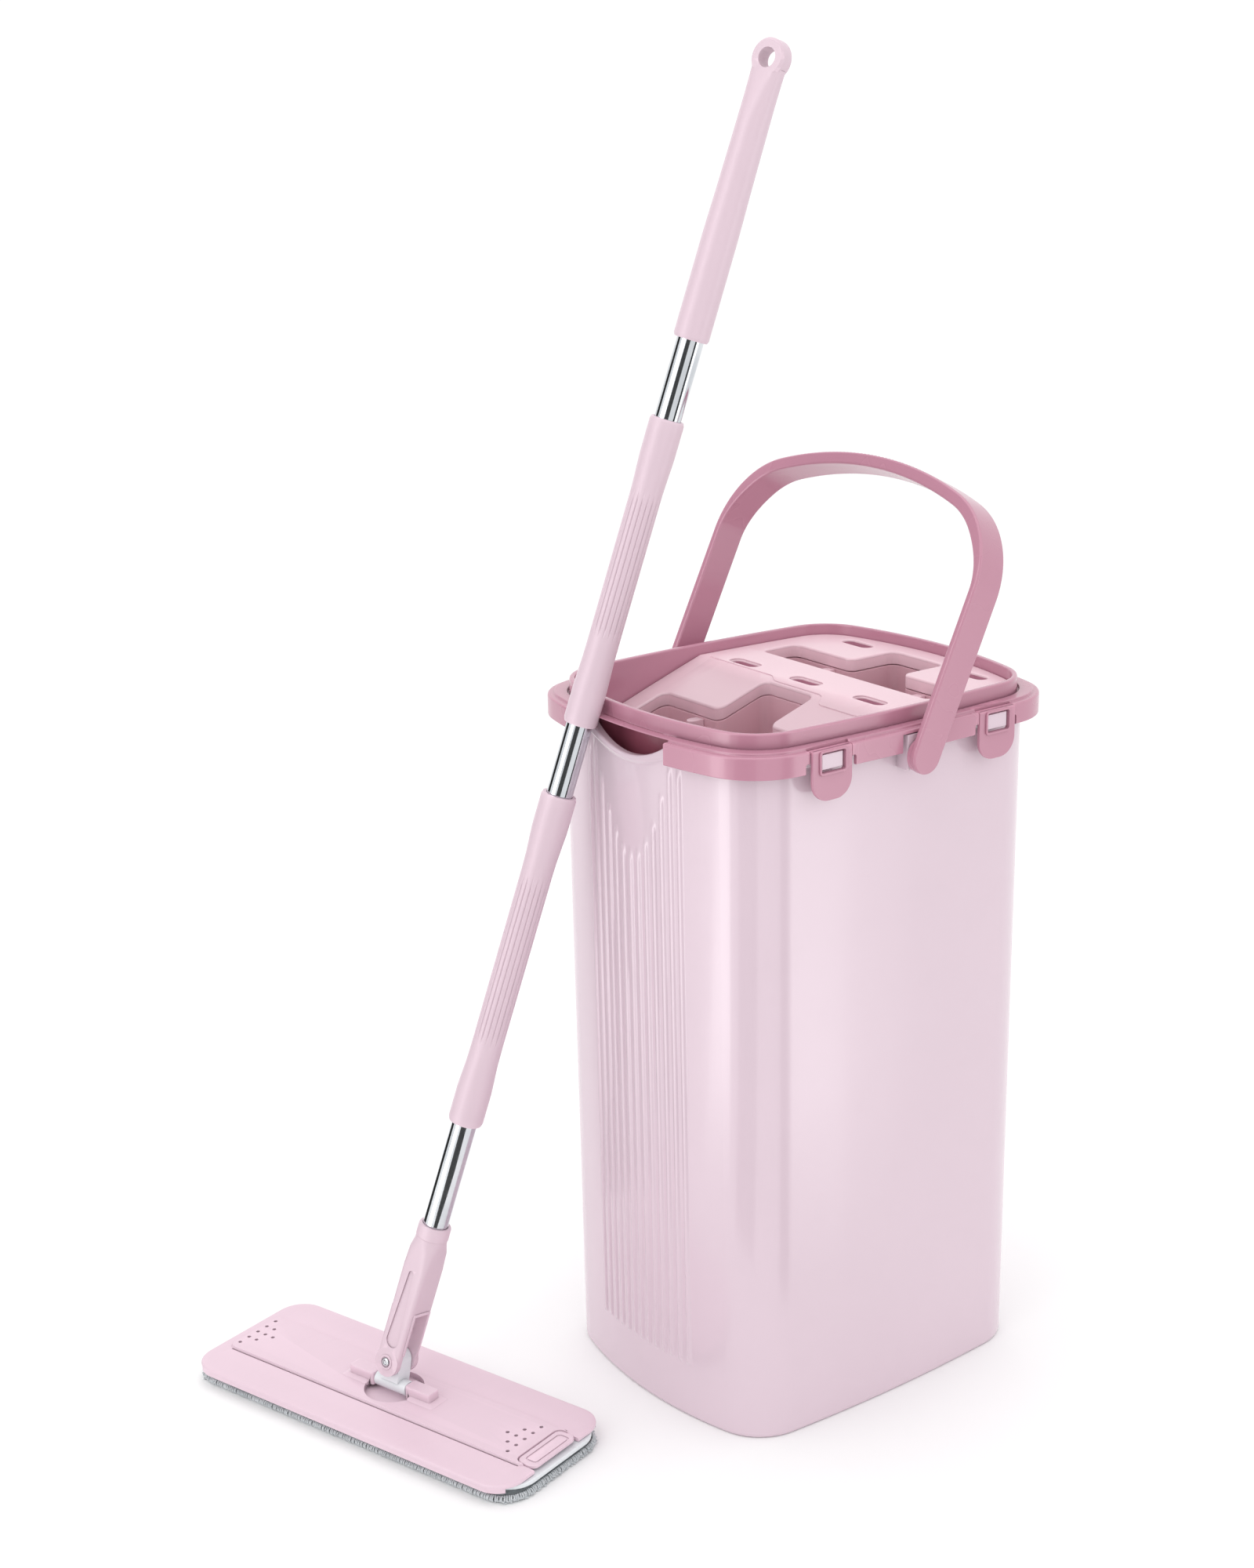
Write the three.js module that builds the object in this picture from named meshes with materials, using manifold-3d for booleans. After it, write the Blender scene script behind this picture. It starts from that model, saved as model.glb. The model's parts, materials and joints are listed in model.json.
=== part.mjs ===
// A flat mop and the two-slot bucket that washes and squeezes it, in millimetres, +Z up.
// The origin is the centre of the bucket's underside. X runs along the bucket, with the pouring
// spout at -X. The mop stands on the floor at the spout end and leans on the bucket's rim.
import * as THREE from "three";
import { mergeVertices } from "three/addons/utils/BufferGeometryUtils.js";
import Module from "manifold-3d";

const wasm = await Module();
wasm.setup();

// ---- driving dimensions -------------------------------------------------------------------
const FIT = 0.3; // gap between pieces that touch
const CUT = 5; // how far a cutter runs past the face that it opens

// Footprints: rounded rectangles whose sides bow outwards.
const BASE = { long: 250.7, wide: 205.8, bowLong: 8.2, bowWide: 23.5, corner: 32.4 };
const MOUTH = { long: 256, wide: 208.8, bowLong: 7, bowWide: 19.7, corner: 36.8 };
const SKIRT = { long: 275, wide: 227.8, bowLong: 7.6, bowWide: 21.2, corner: 41.5 };
const RIM = { long: 251.4, wide: 204.2, bowLong: 6.9, bowWide: 19.4, corner: 36 };

const SHELL_WALL = 2.5;
const FLOOR = 3;
const SHELL_TOP = 442.6;
const FLANGE_DEPTH = 8; // the turned-out lip of the shell under the frame's skirt
const FLANGE_OUT = 4;

const SKIRT_BOTTOM = 432;
const LEDGE_TOP = 445.4;
const RIM_TOP = 455.5;
const INNER_WALL_BOTTOM = 408;
const FRAME_WALL = 2.4;
const FRAME_CLEAR = 1.2; // between the shell's wall and the frame's wall inside it
const FRAME_INSET = SHELL_WALL + FRAME_CLEAR;
const SHELF_DEEP = 4; // the corner shelves that the insert plate sits on

const SPOUT_HALF = 43; // the skirt is open this far each side of the spout
const SPOUT_DIP = 429; // lowest point of the pouring lip
const DIP_HALF = 40;
const LIP_OUT = 3.6; // how far the pouring lip turns out
const LIP_BAND = 7; // height of the thickened band under the dip
const RIB_COUNT = 13;
const RIB_PITCH = 7.35;
const RIB_R = 2.4;
const RIB_SUNK = 1.3; // how deep a rib's axis lies inside the wall's face
const RIB_BOTTOM = 37;
const TONGUE_BOTTOM = 367; // the ribs stop round a smooth tongue under the spout
const TONGUE_FLARE = 89; // how much higher the ribs reach at the spout's edges

const TAB_X = 66; // clip tabs sit this far from the middle of each long side
const TAB_W = 30;
const TAB_BOTTOM = 414.5;
const TAB_THICK = 2.8;
const TAB_ROOT = 3; // how far the tab's top reaches in towards the ledge
const TAB_SUNK = 1.2; // how deep the tab's back lies inside the skirt's face
const TAB_CLEAR = 0.6;
const WINDOW_W = 18;
const WINDOW_H = 12;
const WINDOW_DROP = 1.6;
const LUG_CLEAR = 1;
const BOSS_HALF = 8.5; // half width of the block that carries a bail peg
const BOSS_NOTCH_HALF = 12;

const PLATE_TOP = 448.8;
const PLATE_WALL = 3;
const PLATE_SKIRT = 14;
const CREASE_X = 2; // the plate is level beyond this line and slopes down before it
const SLOPE = THREE.MathUtils.degToRad(18.2);
const PLATE_END = -86;

const SLOT_HALF = 80; // half length of the slot for the mop head
const SLOT_W = 28.8;
const NOTCH_HALF = 24; // the slot widens here for the pole's joint
const NOTCH_DEEP = 37;
const WASH_X = -69; // spout side of each slot
const DRY_X = 40;
const LIP_DEEP = 8.5;
const SLOT_CORNER = 6;
const WELL_DEEP = 120;
const WELL_WALL = 2.4;
const SCRAPER_Y = 43;
const SCRAPER_R = 3.5;
const SCRAPER_OUT = 6.5;
const SCRAPER_TALL = 96;

const VENT = { long: 25.5, wide: 9, corner: 4.4 };
const VENT_X = 10; // the row of vents on the band between the slots
const VENT_Y = 60;
const VENT_FAR_X = 101; // the pair of vents beyond the dry slot
const VENT_FAR_Y = 54;

const BAIL_AXIS_Z = 429.6;
const BAIL_TILT = THREE.MathUtils.degToRad(26);
const BAIL_HALF = 122.5; // half span over the arms
const BAIL_STRAP = 21.6;
const BAIL_THICK = 5;
const BAIL_SHOULDER = 100;
const BAIL_CORNER = 58;
const BAIL_CORNER_TURN = THREE.MathUtils.degToRad(72);
const BAIL_FOOT = 7.8; // thickness of the round foot at each pivot
const PEG_R = 4;

const HEAD = { long: 265.5, wide: 99.6 };
const HEAD_AT = [-258.75, 85.7];
const HEAD_YAW = THREE.MathUtils.degToRad(16);
const HEAD_CORNER = 18;
const PAD_OVER = 4; // how far the pad reaches past the plate at each end
const PAD_TOP = 7;
const BACKING_HALF = 42;
const BACKING_TOP = 10.3;
const PLATE_BOTTOM = 10.6;
const WING_TOP = 13.4;
const DECK_TOP = 14.6;
const DECK_HALF = 20; // half width of the raised deck along the head
const DISH_R = 19; // round recess under the yoke
const DISH_FLOOR = PLATE_BOTTOM + 0.5;
const DRAIN_R = 1.6;
const DRAIN_PITCH = 8;
const DRAIN_ROW = 6.8;
const DRAIN_NEAR = 107.5; // outermost row of drain holes at the release tab's end
const DRAIN_FAR = 121.5; // and at the other end
const AXLE_Z = 17.6;
const YOKE_RISE = 15.8; // from the yoke's axle up to the pole's pin
const POLE_ROLL = THREE.MathUtils.degToRad(13.15);
const POLE_PITCH = THREE.MathUtils.degToRad(11.4);
const FORK_HALF = 11;
const TONGUE_HALF = 5.6;
const TUBE_R = 8;
const TUBE_WALL = 1;
const SOCKET_TOP = 95.3;
const SLEEVE_LOWER = [166.2, 383.3];
const SLEEVE_UPPER = [428.5, 616.6];
const TUBE_FOOT = 46; // where the lowest tube ends inside the socket
const GRIP_BOTTOM = 664;
const HANG_HOLE = 826;
const LOOP_R = 11.2;
const LOOP_HALF = 5;
const HOLE_R = 5.7;
const FORK_FOOT_R = 10;
const FORK_WIDE = 18;
const FORK_WINDOW_TOP = 35.4;
const PIN_HEAD_R = 4.6;
const COUPLER_HALF = 26;
const COLLAR_HALF = 1.5;

// ---- finishes -----------------------------------------------------------------------------
const plastic = (color, roughness) => new THREE.MeshStandardMaterial({ color, roughness, metalness: 0 });
const PALE = () => plastic(0xefd9e4, 0.28);
const ROSE = () => plastic(0xc98aa0, 0.35);
const LIGHT = () => plastic(0xe9cfda, 0.38);
const DEEP = () => plastic(0x8f5568, 0.45);
const WHITE = () => plastic(0xe6e9ec, 0.4);
const GREY = () => plastic(0x9aa0a4, 0.95);
const CHROME = () => new THREE.MeshStandardMaterial({ color: 0xd8dadc, roughness: 0.12, metalness: 1 });

// ---- solids -------------------------------------------------------------------------------
function solid(geometry) {
  const loose = geometry.index ? geometry.toNonIndexed() : geometry.clone();
  loose.deleteAttribute("normal");
  loose.deleteAttribute("uv");
  const merged = mergeVertices(loose, 1e-3);
  const vertProperties = new Float32Array(merged.attributes.position.array);
  const triVerts = new Uint32Array(merged.index.array);
  return new wasm.Manifold(new wasm.Mesh({ numProp: 3, vertProperties, triVerts }));
}

function mesh(name, body, material) {
  const made = body.getMesh();
  const geometry = new THREE.BufferGeometry();
  geometry.setAttribute("position", new THREE.BufferAttribute(made.vertProperties, 3));
  geometry.setIndex(new THREE.BufferAttribute(made.triVerts, 1));
  geometry.computeVertexNormals();
  const piece = new THREE.Mesh(geometry, material);
  piece.name = name;
  return piece;
}

const prism = (shape, low, high, curveSegments = 4) =>
  solid(
    new THREE.ExtrudeGeometry(shape, { depth: high - low, bevelEnabled: false, curveSegments })
      .translate(0, 0, low),
  );

const box = (low, high) =>
  solid(
    new THREE.BoxGeometry(high[0] - low[0], high[1] - low[1], high[2] - low[2]).translate(
      (low[0] + high[0]) / 2,
      (low[1] + high[1]) / 2,
      (low[2] + high[2]) / 2,
    ),
  );

// A rod along one axis ("x", "y" or "z") between two stations, centred at (u, v) on the other two.
function rod(axis, radius, from, to, u = 0, v = 0, sides = 24) {
  const made = new THREE.CylinderGeometry(radius, radius, to - from, sides);
  const middle = (from + to) / 2;
  if (axis === "x") made.rotateZ(-Math.PI / 2).translate(middle, u, v);
  if (axis === "y") made.translate(u, middle, v);
  if (axis === "z") made.rotateX(Math.PI / 2).translate(u, v, middle);
  return solid(made);
}

// A body turned about Z from [radius, height] points that start and end on the axis or close.
function turned(points, sides = 24) {
  const profile = points.map(([r, z]) => new THREE.Vector2(r, z));
  return solid(new THREE.LatheGeometry(profile, sides).rotateX(Math.PI / 2));
}

// A profile of [x, z] points swept across Y between two stations.
function swept(points, from, to) {
  const shape = new THREE.Shape(points.map(([x, z]) => new THREE.Vector2(x, z)));
  const made = new THREE.ExtrudeGeometry(shape, { depth: to - from, bevelEnabled: false });
  return solid(made.rotateX(Math.PI / 2).translate(0, to, 0));
}

// The centres and turning points of a bowed rounded rectangle's arcs.
function arcsOf({ long, wide, bowLong, bowWide, corner }) {
  const sideR = ((long / 2) ** 2 + bowLong ** 2) / (2 * bowLong);
  const endR = ((wide / 2) ** 2 + bowWide ** 2) / (2 * bowWide);
  const sideY = wide / 2 - sideR;
  const endX = long / 2 - endR;
  const apart = Math.hypot(endX, sideY);
  const toSide = sideR - corner;
  const toEnd = endR - corner;
  const along = (toSide ** 2 - toEnd ** 2 + apart ** 2) / (2 * apart);
  const across = Math.sqrt(toSide ** 2 - along ** 2);
  const ex = endX / apart;
  const ey = -sideY / apart;
  const cx = ex * along + ey * across;
  const cy = sideY + ey * along - ex * across;
  const turnEnd = Math.atan2(cy, cx - endX);
  const turnSide = Math.atan2(cy - sideY, cx);
  return { sideR, endR, sideY, endX, cx, cy, corner, turnEnd, turnSide };
}

function footprint(size, inset = 0) {
  const a = arcsOf(size);
  const side = a.sideR - inset;
  const end = a.endR - inset;
  const corner = a.corner - inset;
  const shape = new THREE.Shape();
  shape.absarc(a.endX, 0, end, -a.turnEnd, a.turnEnd);
  shape.absarc(a.cx, a.cy, corner, a.turnEnd, a.turnSide);
  shape.absarc(0, a.sideY, side, a.turnSide, Math.PI - a.turnSide);
  shape.absarc(-a.cx, a.cy, corner, Math.PI - a.turnSide, Math.PI - a.turnEnd);
  shape.absarc(-a.endX, 0, end, Math.PI - a.turnEnd, Math.PI + a.turnEnd);
  shape.absarc(-a.cx, -a.cy, corner, Math.PI + a.turnEnd, Math.PI + a.turnSide);
  shape.absarc(0, -a.sideY, side, Math.PI + a.turnSide, 2 * Math.PI - a.turnSide);
  shape.absarc(a.cx, -a.cy, corner, 2 * Math.PI - a.turnSide, 2 * Math.PI - a.turnEnd);
  return shape;
}

function roundedRect(x0, x1, y0, y1, r) {
  const shape = new THREE.Shape();
  shape.moveTo(x0 + r, y0);
  shape.lineTo(x1 - r, y0);
  shape.absarc(x1 - r, y0 + r, r, -Math.PI / 2, 0);
  shape.lineTo(x1, y1 - r);
  shape.absarc(x1 - r, y1 - r, r, 0, Math.PI / 2);
  shape.lineTo(x0 + r, y1);
  shape.absarc(x0 + r, y1 - r, r, Math.PI / 2, Math.PI);
  shape.lineTo(x0, y0 + r);
  shape.absarc(x0 + r, y0 + r, r, Math.PI, 1.5 * Math.PI);
  return shape;
}

// ---- bucket -------------------------------------------------------------------------------
// Narrows a straight prism of the mouth's footprint to the base's footprint at the floor.
function drafted(inset, low, high) {
  const options = { depth: high - low, bevelEnabled: false, curveSegments: 4 };
  const made = new THREE.ExtrudeGeometry(footprint(MOUTH, inset), options).translate(0, 0, low);
  const at = made.attributes.position;
  for (let i = 0; i < at.count; i++) {
    const fall = 1 - at.getZ(i) / SHELL_TOP;
    at.setX(i, at.getX(i) * (1 - fall * (1 - BASE.long / MOUTH.long)));
    at.setY(i, at.getY(i) * (1 - fall * (1 - BASE.wide / MOUTH.wide)));
  }
  return solid(made);
}

// Where the spout end's outer face stands at a given y, at the mouth.
function spoutFaceX(y) {
  const a = arcsOf(MOUTH);
  return -(a.endX + Math.sqrt(a.endR ** 2 - y ** 2));
}

// The dip of the pouring lip: a hollow curve in the end wall's top edge.
function dipShape(drop) {
  const shape = new THREE.Shape();
  const steps = 10;
  shape.moveTo(DIP_HALF, SHELL_TOP + CUT);
  shape.lineTo(-DIP_HALF, SHELL_TOP + CUT);
  for (let i = 0; i <= steps; i++) {
    const y = -DIP_HALF + (2 * DIP_HALF * i) / steps;
    shape.lineTo(y, SPOUT_DIP - drop + (SHELL_TOP - SPOUT_DIP) * (y / DIP_HALF) ** 2);
  }
  return shape;
}

const dipCutter = (drop, from, to) =>
  solid(
    new THREE.ExtrudeGeometry(dipShape(drop), { depth: to - from, bevelEnabled: false })
      .rotateX(Math.PI / 2)
      .rotateZ(Math.PI / 2)
      .translate(from, 0, 0),
  );

// One half-round rib on the spout end, leaning with the wall's draft.
function rib(y) {
  const draft = (MOUTH.long - BASE.long) / 2 / SHELL_TOP;
  const tongue = TONGUE_BOTTOM + TONGUE_FLARE * (y / SPOUT_HALF) ** 2;
  const top = Math.min(tongue, SHELL_TOP - 2 * FLANGE_DEPTH);
  const middle = (top + RIB_BOTTOM) / 2;
  const x = spoutFaceX(y) + RIB_SUNK + draft * (SHELL_TOP - middle);
  return solid(
    new THREE.CylinderGeometry(RIB_R, RIB_R, top - RIB_BOTTOM, 6)
      .rotateX(Math.PI / 2)
      .rotateY(-draft)
      .translate(x, y, middle),
  );
}

function bucketShell() {
  const flangeFoot = SHELL_TOP - FLANGE_DEPTH;
  const flange = prism(footprint(MOUTH, -FLANGE_OUT), flangeFoot, SHELL_TOP);
  let body = drafted(0, 0, SHELL_TOP).add(flange);
  for (let i = 0; i < RIB_COUNT; i++) body = body.add(rib((i - (RIB_COUNT - 1) / 2) * RIB_PITCH));
  body = body.add(pouringLip());
  for (const x of [-TAB_X, TAB_X]) {
    for (const side of [-1, 1]) body = body.add(clipLug(x, side));
  }
  for (const side of [-1, 1]) body = body.add(bailBoss(side));
  const hollow = drafted(SHELL_WALL, FLOOR, SHELL_TOP + CUT);
  return body.subtract(hollow).subtract(dipCutter(0, -160, -100));
}

// A thicker band that follows the dip and turns outwards.
function pouringLip() {
  const band = prism(footprint(MOUTH, -LIP_OUT), SPOUT_DIP - LIP_BAND - 1, SHELL_TOP);
  const around = dipCutter(LIP_BAND, -160, -100);
  return band.intersect(around);
}

const wallY = (size, x) => {
  const a = arcsOf(size);
  return a.sideY + Math.sqrt(a.sideR ** 2 - x ** 2);
};

function clipLug(x, side) {
  const outer = wallY(SKIRT, TAB_X) - 0.4;
  const inner = wallY(MOUTH, TAB_X) - 1;
  const half = WINDOW_W / 2 - LUG_CLEAR;
  const low = LEDGE_TOP - WINDOW_DROP - WINDOW_H + 1.7;
  const block = box([x - half, inner, low], [x + half, outer, SHELL_TOP]);
  return side > 0 ? block : block.mirror([0, 1, 0]);
}

function bailBoss(side) {
  const foot = wallY(MOUTH, 0) - 1;
  const face = BAIL_HALF - BAIL_FOOT - 0.4;
  const block = box([-BOSS_HALF, foot, BAIL_AXIS_Z - BOSS_HALF], [BOSS_HALF, face, SHELL_TOP]);
  const peg = rod("y", PEG_R, face - 1, BAIL_HALF - 3, 0, BAIL_AXIS_Z, 20);
  const boss = block.add(peg);
  return side > 0 ? boss : boss.mirror([0, 1, 0]);
}

function splashFrame() {
  const skirt = prism(footprint(SKIRT), SKIRT_BOTTOM, LEDGE_TOP);
  const channel = prism(footprint(SKIRT, FRAME_WALL), SKIRT_BOTTOM - CUT, SHELL_TOP + FIT);
  const rim = prism(footprint(RIM), SHELL_TOP + FIT, RIM_TOP);
  const innerWall = prism(footprint(MOUTH, FRAME_INSET), INNER_WALL_BOTTOM, SHELL_TOP + 1);
  const opening = prism(footprint(MOUTH, FRAME_INSET + FRAME_WALL), INNER_WALL_BOTTOM - CUT, RIM_TOP + CUT);
  const shelfTop = PLATE_TOP - PLATE_SKIRT - FIT;
  const shelf = prism(footprint(MOUTH, FRAME_INSET - 1), shelfTop - SHELF_DEEP, shelfTop);
  const shelfHole = box([-160, -84, 0], [112, 84, 500]).add(box([-160, -120, 0], [22, 120, 500]));
  let body = skirt.subtract(channel).add(rim).add(innerWall).subtract(opening);
  body = body.add(shelf.subtract(shelfHole));
  body = body.subtract(box([-160, -SPOUT_HALF, 400], [-RIM.long / 2 + 1.4, SPOUT_HALF, LEDGE_TOP + 1]));
  body = body.subtract(dipCutter(4, -160, -90));
  const tabGapY = wallY(SKIRT, TAB_X) - TAB_SUNK - TAB_ROOT - TAB_CLEAR;
  const tabGapHalf = TAB_W / 2 + TAB_CLEAR;
  const bossGap = box([-BOSS_NOTCH_HALF, wallY(RIM, 0) + 3.5, 400], [BOSS_NOTCH_HALF, 140, LEDGE_TOP - 2]);
  const gaps = [-TAB_X, TAB_X].map((x) =>
    box([x - tabGapHalf, tabGapY, 400], [x + tabGapHalf, 140, LEDGE_TOP + CUT]),
  );
  for (const gap of [...gaps, bossGap]) {
    body = body.subtract(gap).subtract(gap.mirror([0, 1, 0]));
  }
  return body;
}

// One U-shaped clip tab in its own frame: origin at the top of its back, hanging down, facing +Y.
function clipTab() {
  const shape = new THREE.Shape();
  const half = TAB_W / 2;
  const drop = LEDGE_TOP - TAB_BOTTOM;
  shape.moveTo(-half, 0);
  shape.lineTo(-half, -drop + half * 0.8);
  shape.absarc(-half * 0.2, -drop + half * 0.8, half * 0.8, Math.PI, 1.5 * Math.PI);
  shape.absarc(half * 0.2, -drop + half * 0.8, half * 0.8, 1.5 * Math.PI, 2 * Math.PI);
  shape.lineTo(half, 0);
  const made = new THREE.ExtrudeGeometry(shape, { depth: TAB_THICK, bevelEnabled: false, curveSegments: 3 });
  const plate = solid(made.rotateX(Math.PI / 2).translate(0, TAB_THICK, 0));
  const root = box([-half, -TAB_ROOT, -FRAME_WALL], [half, TAB_THICK, 0]);
  const sill = -WINDOW_DROP - WINDOW_H;
  const window = box([-WINDOW_W / 2, -CUT, sill], [WINDOW_W / 2, CUT, -WINDOW_DROP]);
  return plate.add(root).subtract(window);
}

// The slot's plan: a long bar for the mop head with a notch for the pole's joint.
function slotShape(x0, grow = 0) {
  const r = SLOT_CORNER + grow;
  const left = x0 - grow;
  const right = x0 + SLOT_W + grow;
  const far = x0 + SLOT_W + NOTCH_DEEP + grow;
  const y = SLOT_HALF + grow;
  const n = NOTCH_HALF + grow;
  const quarter = Math.PI / 2;
  const inner = SLOT_CORNER - grow * 0.5;
  const shape = new THREE.Shape();
  shape.absarc(left + r, -y + r, r, -2 * quarter, -quarter);
  shape.absarc(right - r, -y + r, r, -quarter, 0);
  shape.absarc(right + inner, -n - inner, inner, 2 * quarter, quarter, true);
  shape.absarc(far - r, -n + r, r, -quarter, 0);
  shape.absarc(far - r, n - r, r, 0, quarter);
  shape.absarc(right + inner, n + inner, inner, -quarter, -2 * quarter, true);
  shape.absarc(right - r, y - r, r, 0, quarter);
  shape.absarc(left + r, y - r, r, quarter, 2 * quarter);
  return shape;
}

const slotPrism = (x0, grow, low, high) => prism(slotShape(x0, grow), low, high, 2);

// The space below the plate's top face when that face is lowered by a given amount.
function underPlate(drop, depth, x0 = PLATE_END, x1 = 140) {
  const surface = (x) => PLATE_TOP - Math.max(0, CREASE_X - x) * Math.tan(SLOPE) - drop;
  const profile = [
    [x0, surface(x0) - depth],
    [CREASE_X, surface(CREASE_X) - depth],
    [x1, surface(x1) - depth],
    [x1, surface(x1)],
    [CREASE_X, surface(CREASE_X)],
    [x0, surface(x0)],
  ];
  return swept(profile, -120, 120);
}

function ventCutter(x, y) {
  const across = VENT.wide / 2;
  const along = VENT.long / 2;
  return prism(roundedRect(x - across, x + across, y - along, y + along, VENT.corner), 400, 480, 2);
}

function insertPlate() {
  const edge = FRAME_INSET + FRAME_WALL + FIT + 0.2;
  const outer = prism(footprint(MOUTH, edge), 380, 470);
  const inside = prism(footprint(MOUTH, edge + PLATE_WALL), 380, 470);
  const shell = underPlate(0, PLATE_SKIRT).intersect(outer);
  const hollow = underPlate(PLATE_WALL, PLATE_SKIRT + CUT, PLATE_END + PLATE_WALL).intersect(inside);
  let body = shell.subtract(hollow);
  for (const x0 of [WASH_X, DRY_X]) {
    body = body.add(slotPrism(x0, PLATE_WALL, 350, 470).intersect(underPlate(0, LIP_DEEP)).intersect(outer));
  }
  for (const x0 of [WASH_X, DRY_X]) body = body.subtract(slotPrism(x0, 0, 340, 480));
  const band = [-VENT_Y, 0, VENT_Y].map((y) => [VENT_X, y]);
  const far = [-VENT_FAR_Y, VENT_FAR_Y].map((y) => [VENT_FAR_X, y]);
  for (const [x, y] of [...band, ...far]) body = body.subtract(ventCutter(x, y));
  return body;
}

function well(x0) {
  const gap = FIT + 0.2;
  const top = underPlate(LIP_DEEP + gap, WELL_DEEP, -140);
  const outer = slotPrism(x0, WELL_WALL, 200, 470).intersect(top);
  return outer.subtract(slotPrism(x0, 0, 190, 480));
}

// A round-topped bar on the well's wall that the pad is dragged past.
function scraper(x0, side) {
  const wall = x0 + SLOT_W - FIT;
  const surface = PLATE_TOP - Math.max(0, CREASE_X - wall) * Math.tan(SLOPE);
  const top = surface - LIP_DEEP - 1;
  const y = side * SCRAPER_Y;
  const foot = top - SCRAPER_TALL;
  const bar = box([wall - SCRAPER_OUT, y - SCRAPER_R, foot], [wall, y + SCRAPER_R, top]);
  const nose = rod("z", SCRAPER_R, foot, top, wall - SCRAPER_OUT, y, 12);
  return bar.add(nose);
}

function bailOutline(inset) {
  const half = BAIL_HALF - inset;
  const r = BAIL_CORNER - inset;
  const centreY = BAIL_HALF - BAIL_CORNER;
  const crownR = (centreY + BAIL_CORNER * Math.cos(BAIL_CORNER_TURN)) / Math.cos(BAIL_CORNER_TURN);
  const crownZ = BAIL_SHOULDER + (BAIL_CORNER - crownR) * Math.sin(BAIL_CORNER_TURN);
  const points = [];
  const arc = (cy, cz, radius, from, to, steps) => {
    for (let i = 0; i <= steps; i++) {
      const t = from + ((to - from) * i) / steps;
      points.push(new THREE.Vector2(cy + radius * Math.cos(t), cz + radius * Math.sin(t)));
    }
  };
  points.push(new THREE.Vector2(half, 0));
  arc(centreY, BAIL_SHOULDER, r, 0, BAIL_CORNER_TURN, 9);
  arc(0, crownZ, crownR - inset, BAIL_CORNER_TURN, Math.PI - BAIL_CORNER_TURN, 8);
  arc(-centreY, BAIL_SHOULDER, r, Math.PI - BAIL_CORNER_TURN, Math.PI, 9);
  points.push(new THREE.Vector2(-half, 0));
  return points;
}

// The bail in its own frame: pivot axis on Y, loop standing up in the YZ plane.
function bailHandle() {
  const shape = new THREE.Shape([...bailOutline(0), ...bailOutline(BAIL_THICK).reverse()]);
  const made = new THREE.ExtrudeGeometry(shape, { depth: BAIL_STRAP, bevelEnabled: false })
    .rotateX(Math.PI / 2)
    .rotateZ(Math.PI / 2)
    .translate(-BAIL_STRAP / 2, 0, 0);
  let body = solid(made);
  for (const side of [-1, 1]) {
    const from = BAIL_HALF - BAIL_FOOT;
    const foot = rod("y", BAIL_STRAP / 2, from, BAIL_HALF, 0, 0, 28);
    const socket = rod("y", PEG_R + 0.5, from - CUT, BAIL_HALF - 2.4, 0, 0, 20);
    body = body.add(side > 0 ? foot : foot.mirror([0, 1, 0]));
    body = body.subtract(side > 0 ? socket : socket.mirror([0, 1, 0]));
  }
  return body;
}

// ---- mop head: x across the head, y along it, z up from the floor ---------------------------
const headEnd = HEAD.long / 2;
const headSide = HEAD.wide / 2;
const TAB_HALF = 21;
const TAB_DEEP = 16;
const BAR_FROM = 13.5;
const BAR_TO = 34;
const BAR_HALF = 4.4;
const AXLE_R = 2.1;

function microfibrePad() {
  const end = headEnd + PAD_OVER;
  return prism(roundedRect(-headSide, headSide, -end, end, HEAD_CORNER + 2), 0, PAD_TOP);
}

function backingPlate() {
  const shape = roundedRect(-BACKING_HALF, BACKING_HALF, -headEnd - 2.5, headEnd - 4, HEAD_CORNER);
  return prism(shape, PAD_TOP + FIT, BACKING_TOP);
}

// Drain holes in rows of five, three and one that narrow towards the middle of the head.
function drainHoles() {
  const holes = [];
  for (let row = 0; row < 3; row++) {
    const reach = 2 - row;
    for (let i = -reach; i <= reach; i++) {
      holes.push([i * DRAIN_PITCH, row * DRAIN_ROW - DRAIN_NEAR]);
      holes.push([i * DRAIN_PITCH, DRAIN_FAR - row * DRAIN_ROW]);
    }
  }
  return holes;
}

function headPlate() {
  const wingShape = roundedRect(-headSide, headSide, -headEnd, headEnd, HEAD_CORNER);
  const deckShape = roundedRect(-DECK_HALF, DECK_HALF, -headEnd + 1, headEnd - 1, 3);
  let body = prism(wingShape, PLATE_BOTTOM, WING_TOP).add(prism(deckShape, WING_TOP - 1, DECK_TOP, 1));
  body = body.subtract(rod("z", DISH_R, DISH_FLOOR, 40, 0, 0, 36));
  for (const side of [-1, 1]) {
    const from = side > 0 ? BAR_FROM : -BAR_TO;
    const to = side > 0 ? BAR_TO : -BAR_FROM;
    const bar = box([-BAR_HALF, from, DISH_FLOOR], [BAR_HALF, to, AXLE_Z]);
    const back = rod("y", BAR_HALF, from, to, 0, AXLE_Z, 16);
    body = body.add(bar).add(back);
    body = body.subtract(rod("y", AXLE_R + FIT, from - CUT, to + CUT, 0, AXLE_Z, 16));
  }
  for (const [x, y] of drainHoles()) body = body.subtract(rod("z", DRAIN_R, 0, 40, x, y, 8));
  const notch = roundedRect(-TAB_HALF, TAB_HALF, -headEnd - 20, -headEnd + TAB_DEEP, 5);
  return body.subtract(prism(notch, 0, 40, 2));
}

function releaseTab() {
  const half = TAB_HALF - 0.8;
  const shape = roundedRect(-half, half, -TAB_DEEP + 0.8, -0.8, 4.4);
  return prism(shape, -2.4, 0, 2);
}

const yokeAxle = () => rod("y", AXLE_R, -BAR_TO + 2, BAR_TO - 2, 0, 0, 16);

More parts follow.
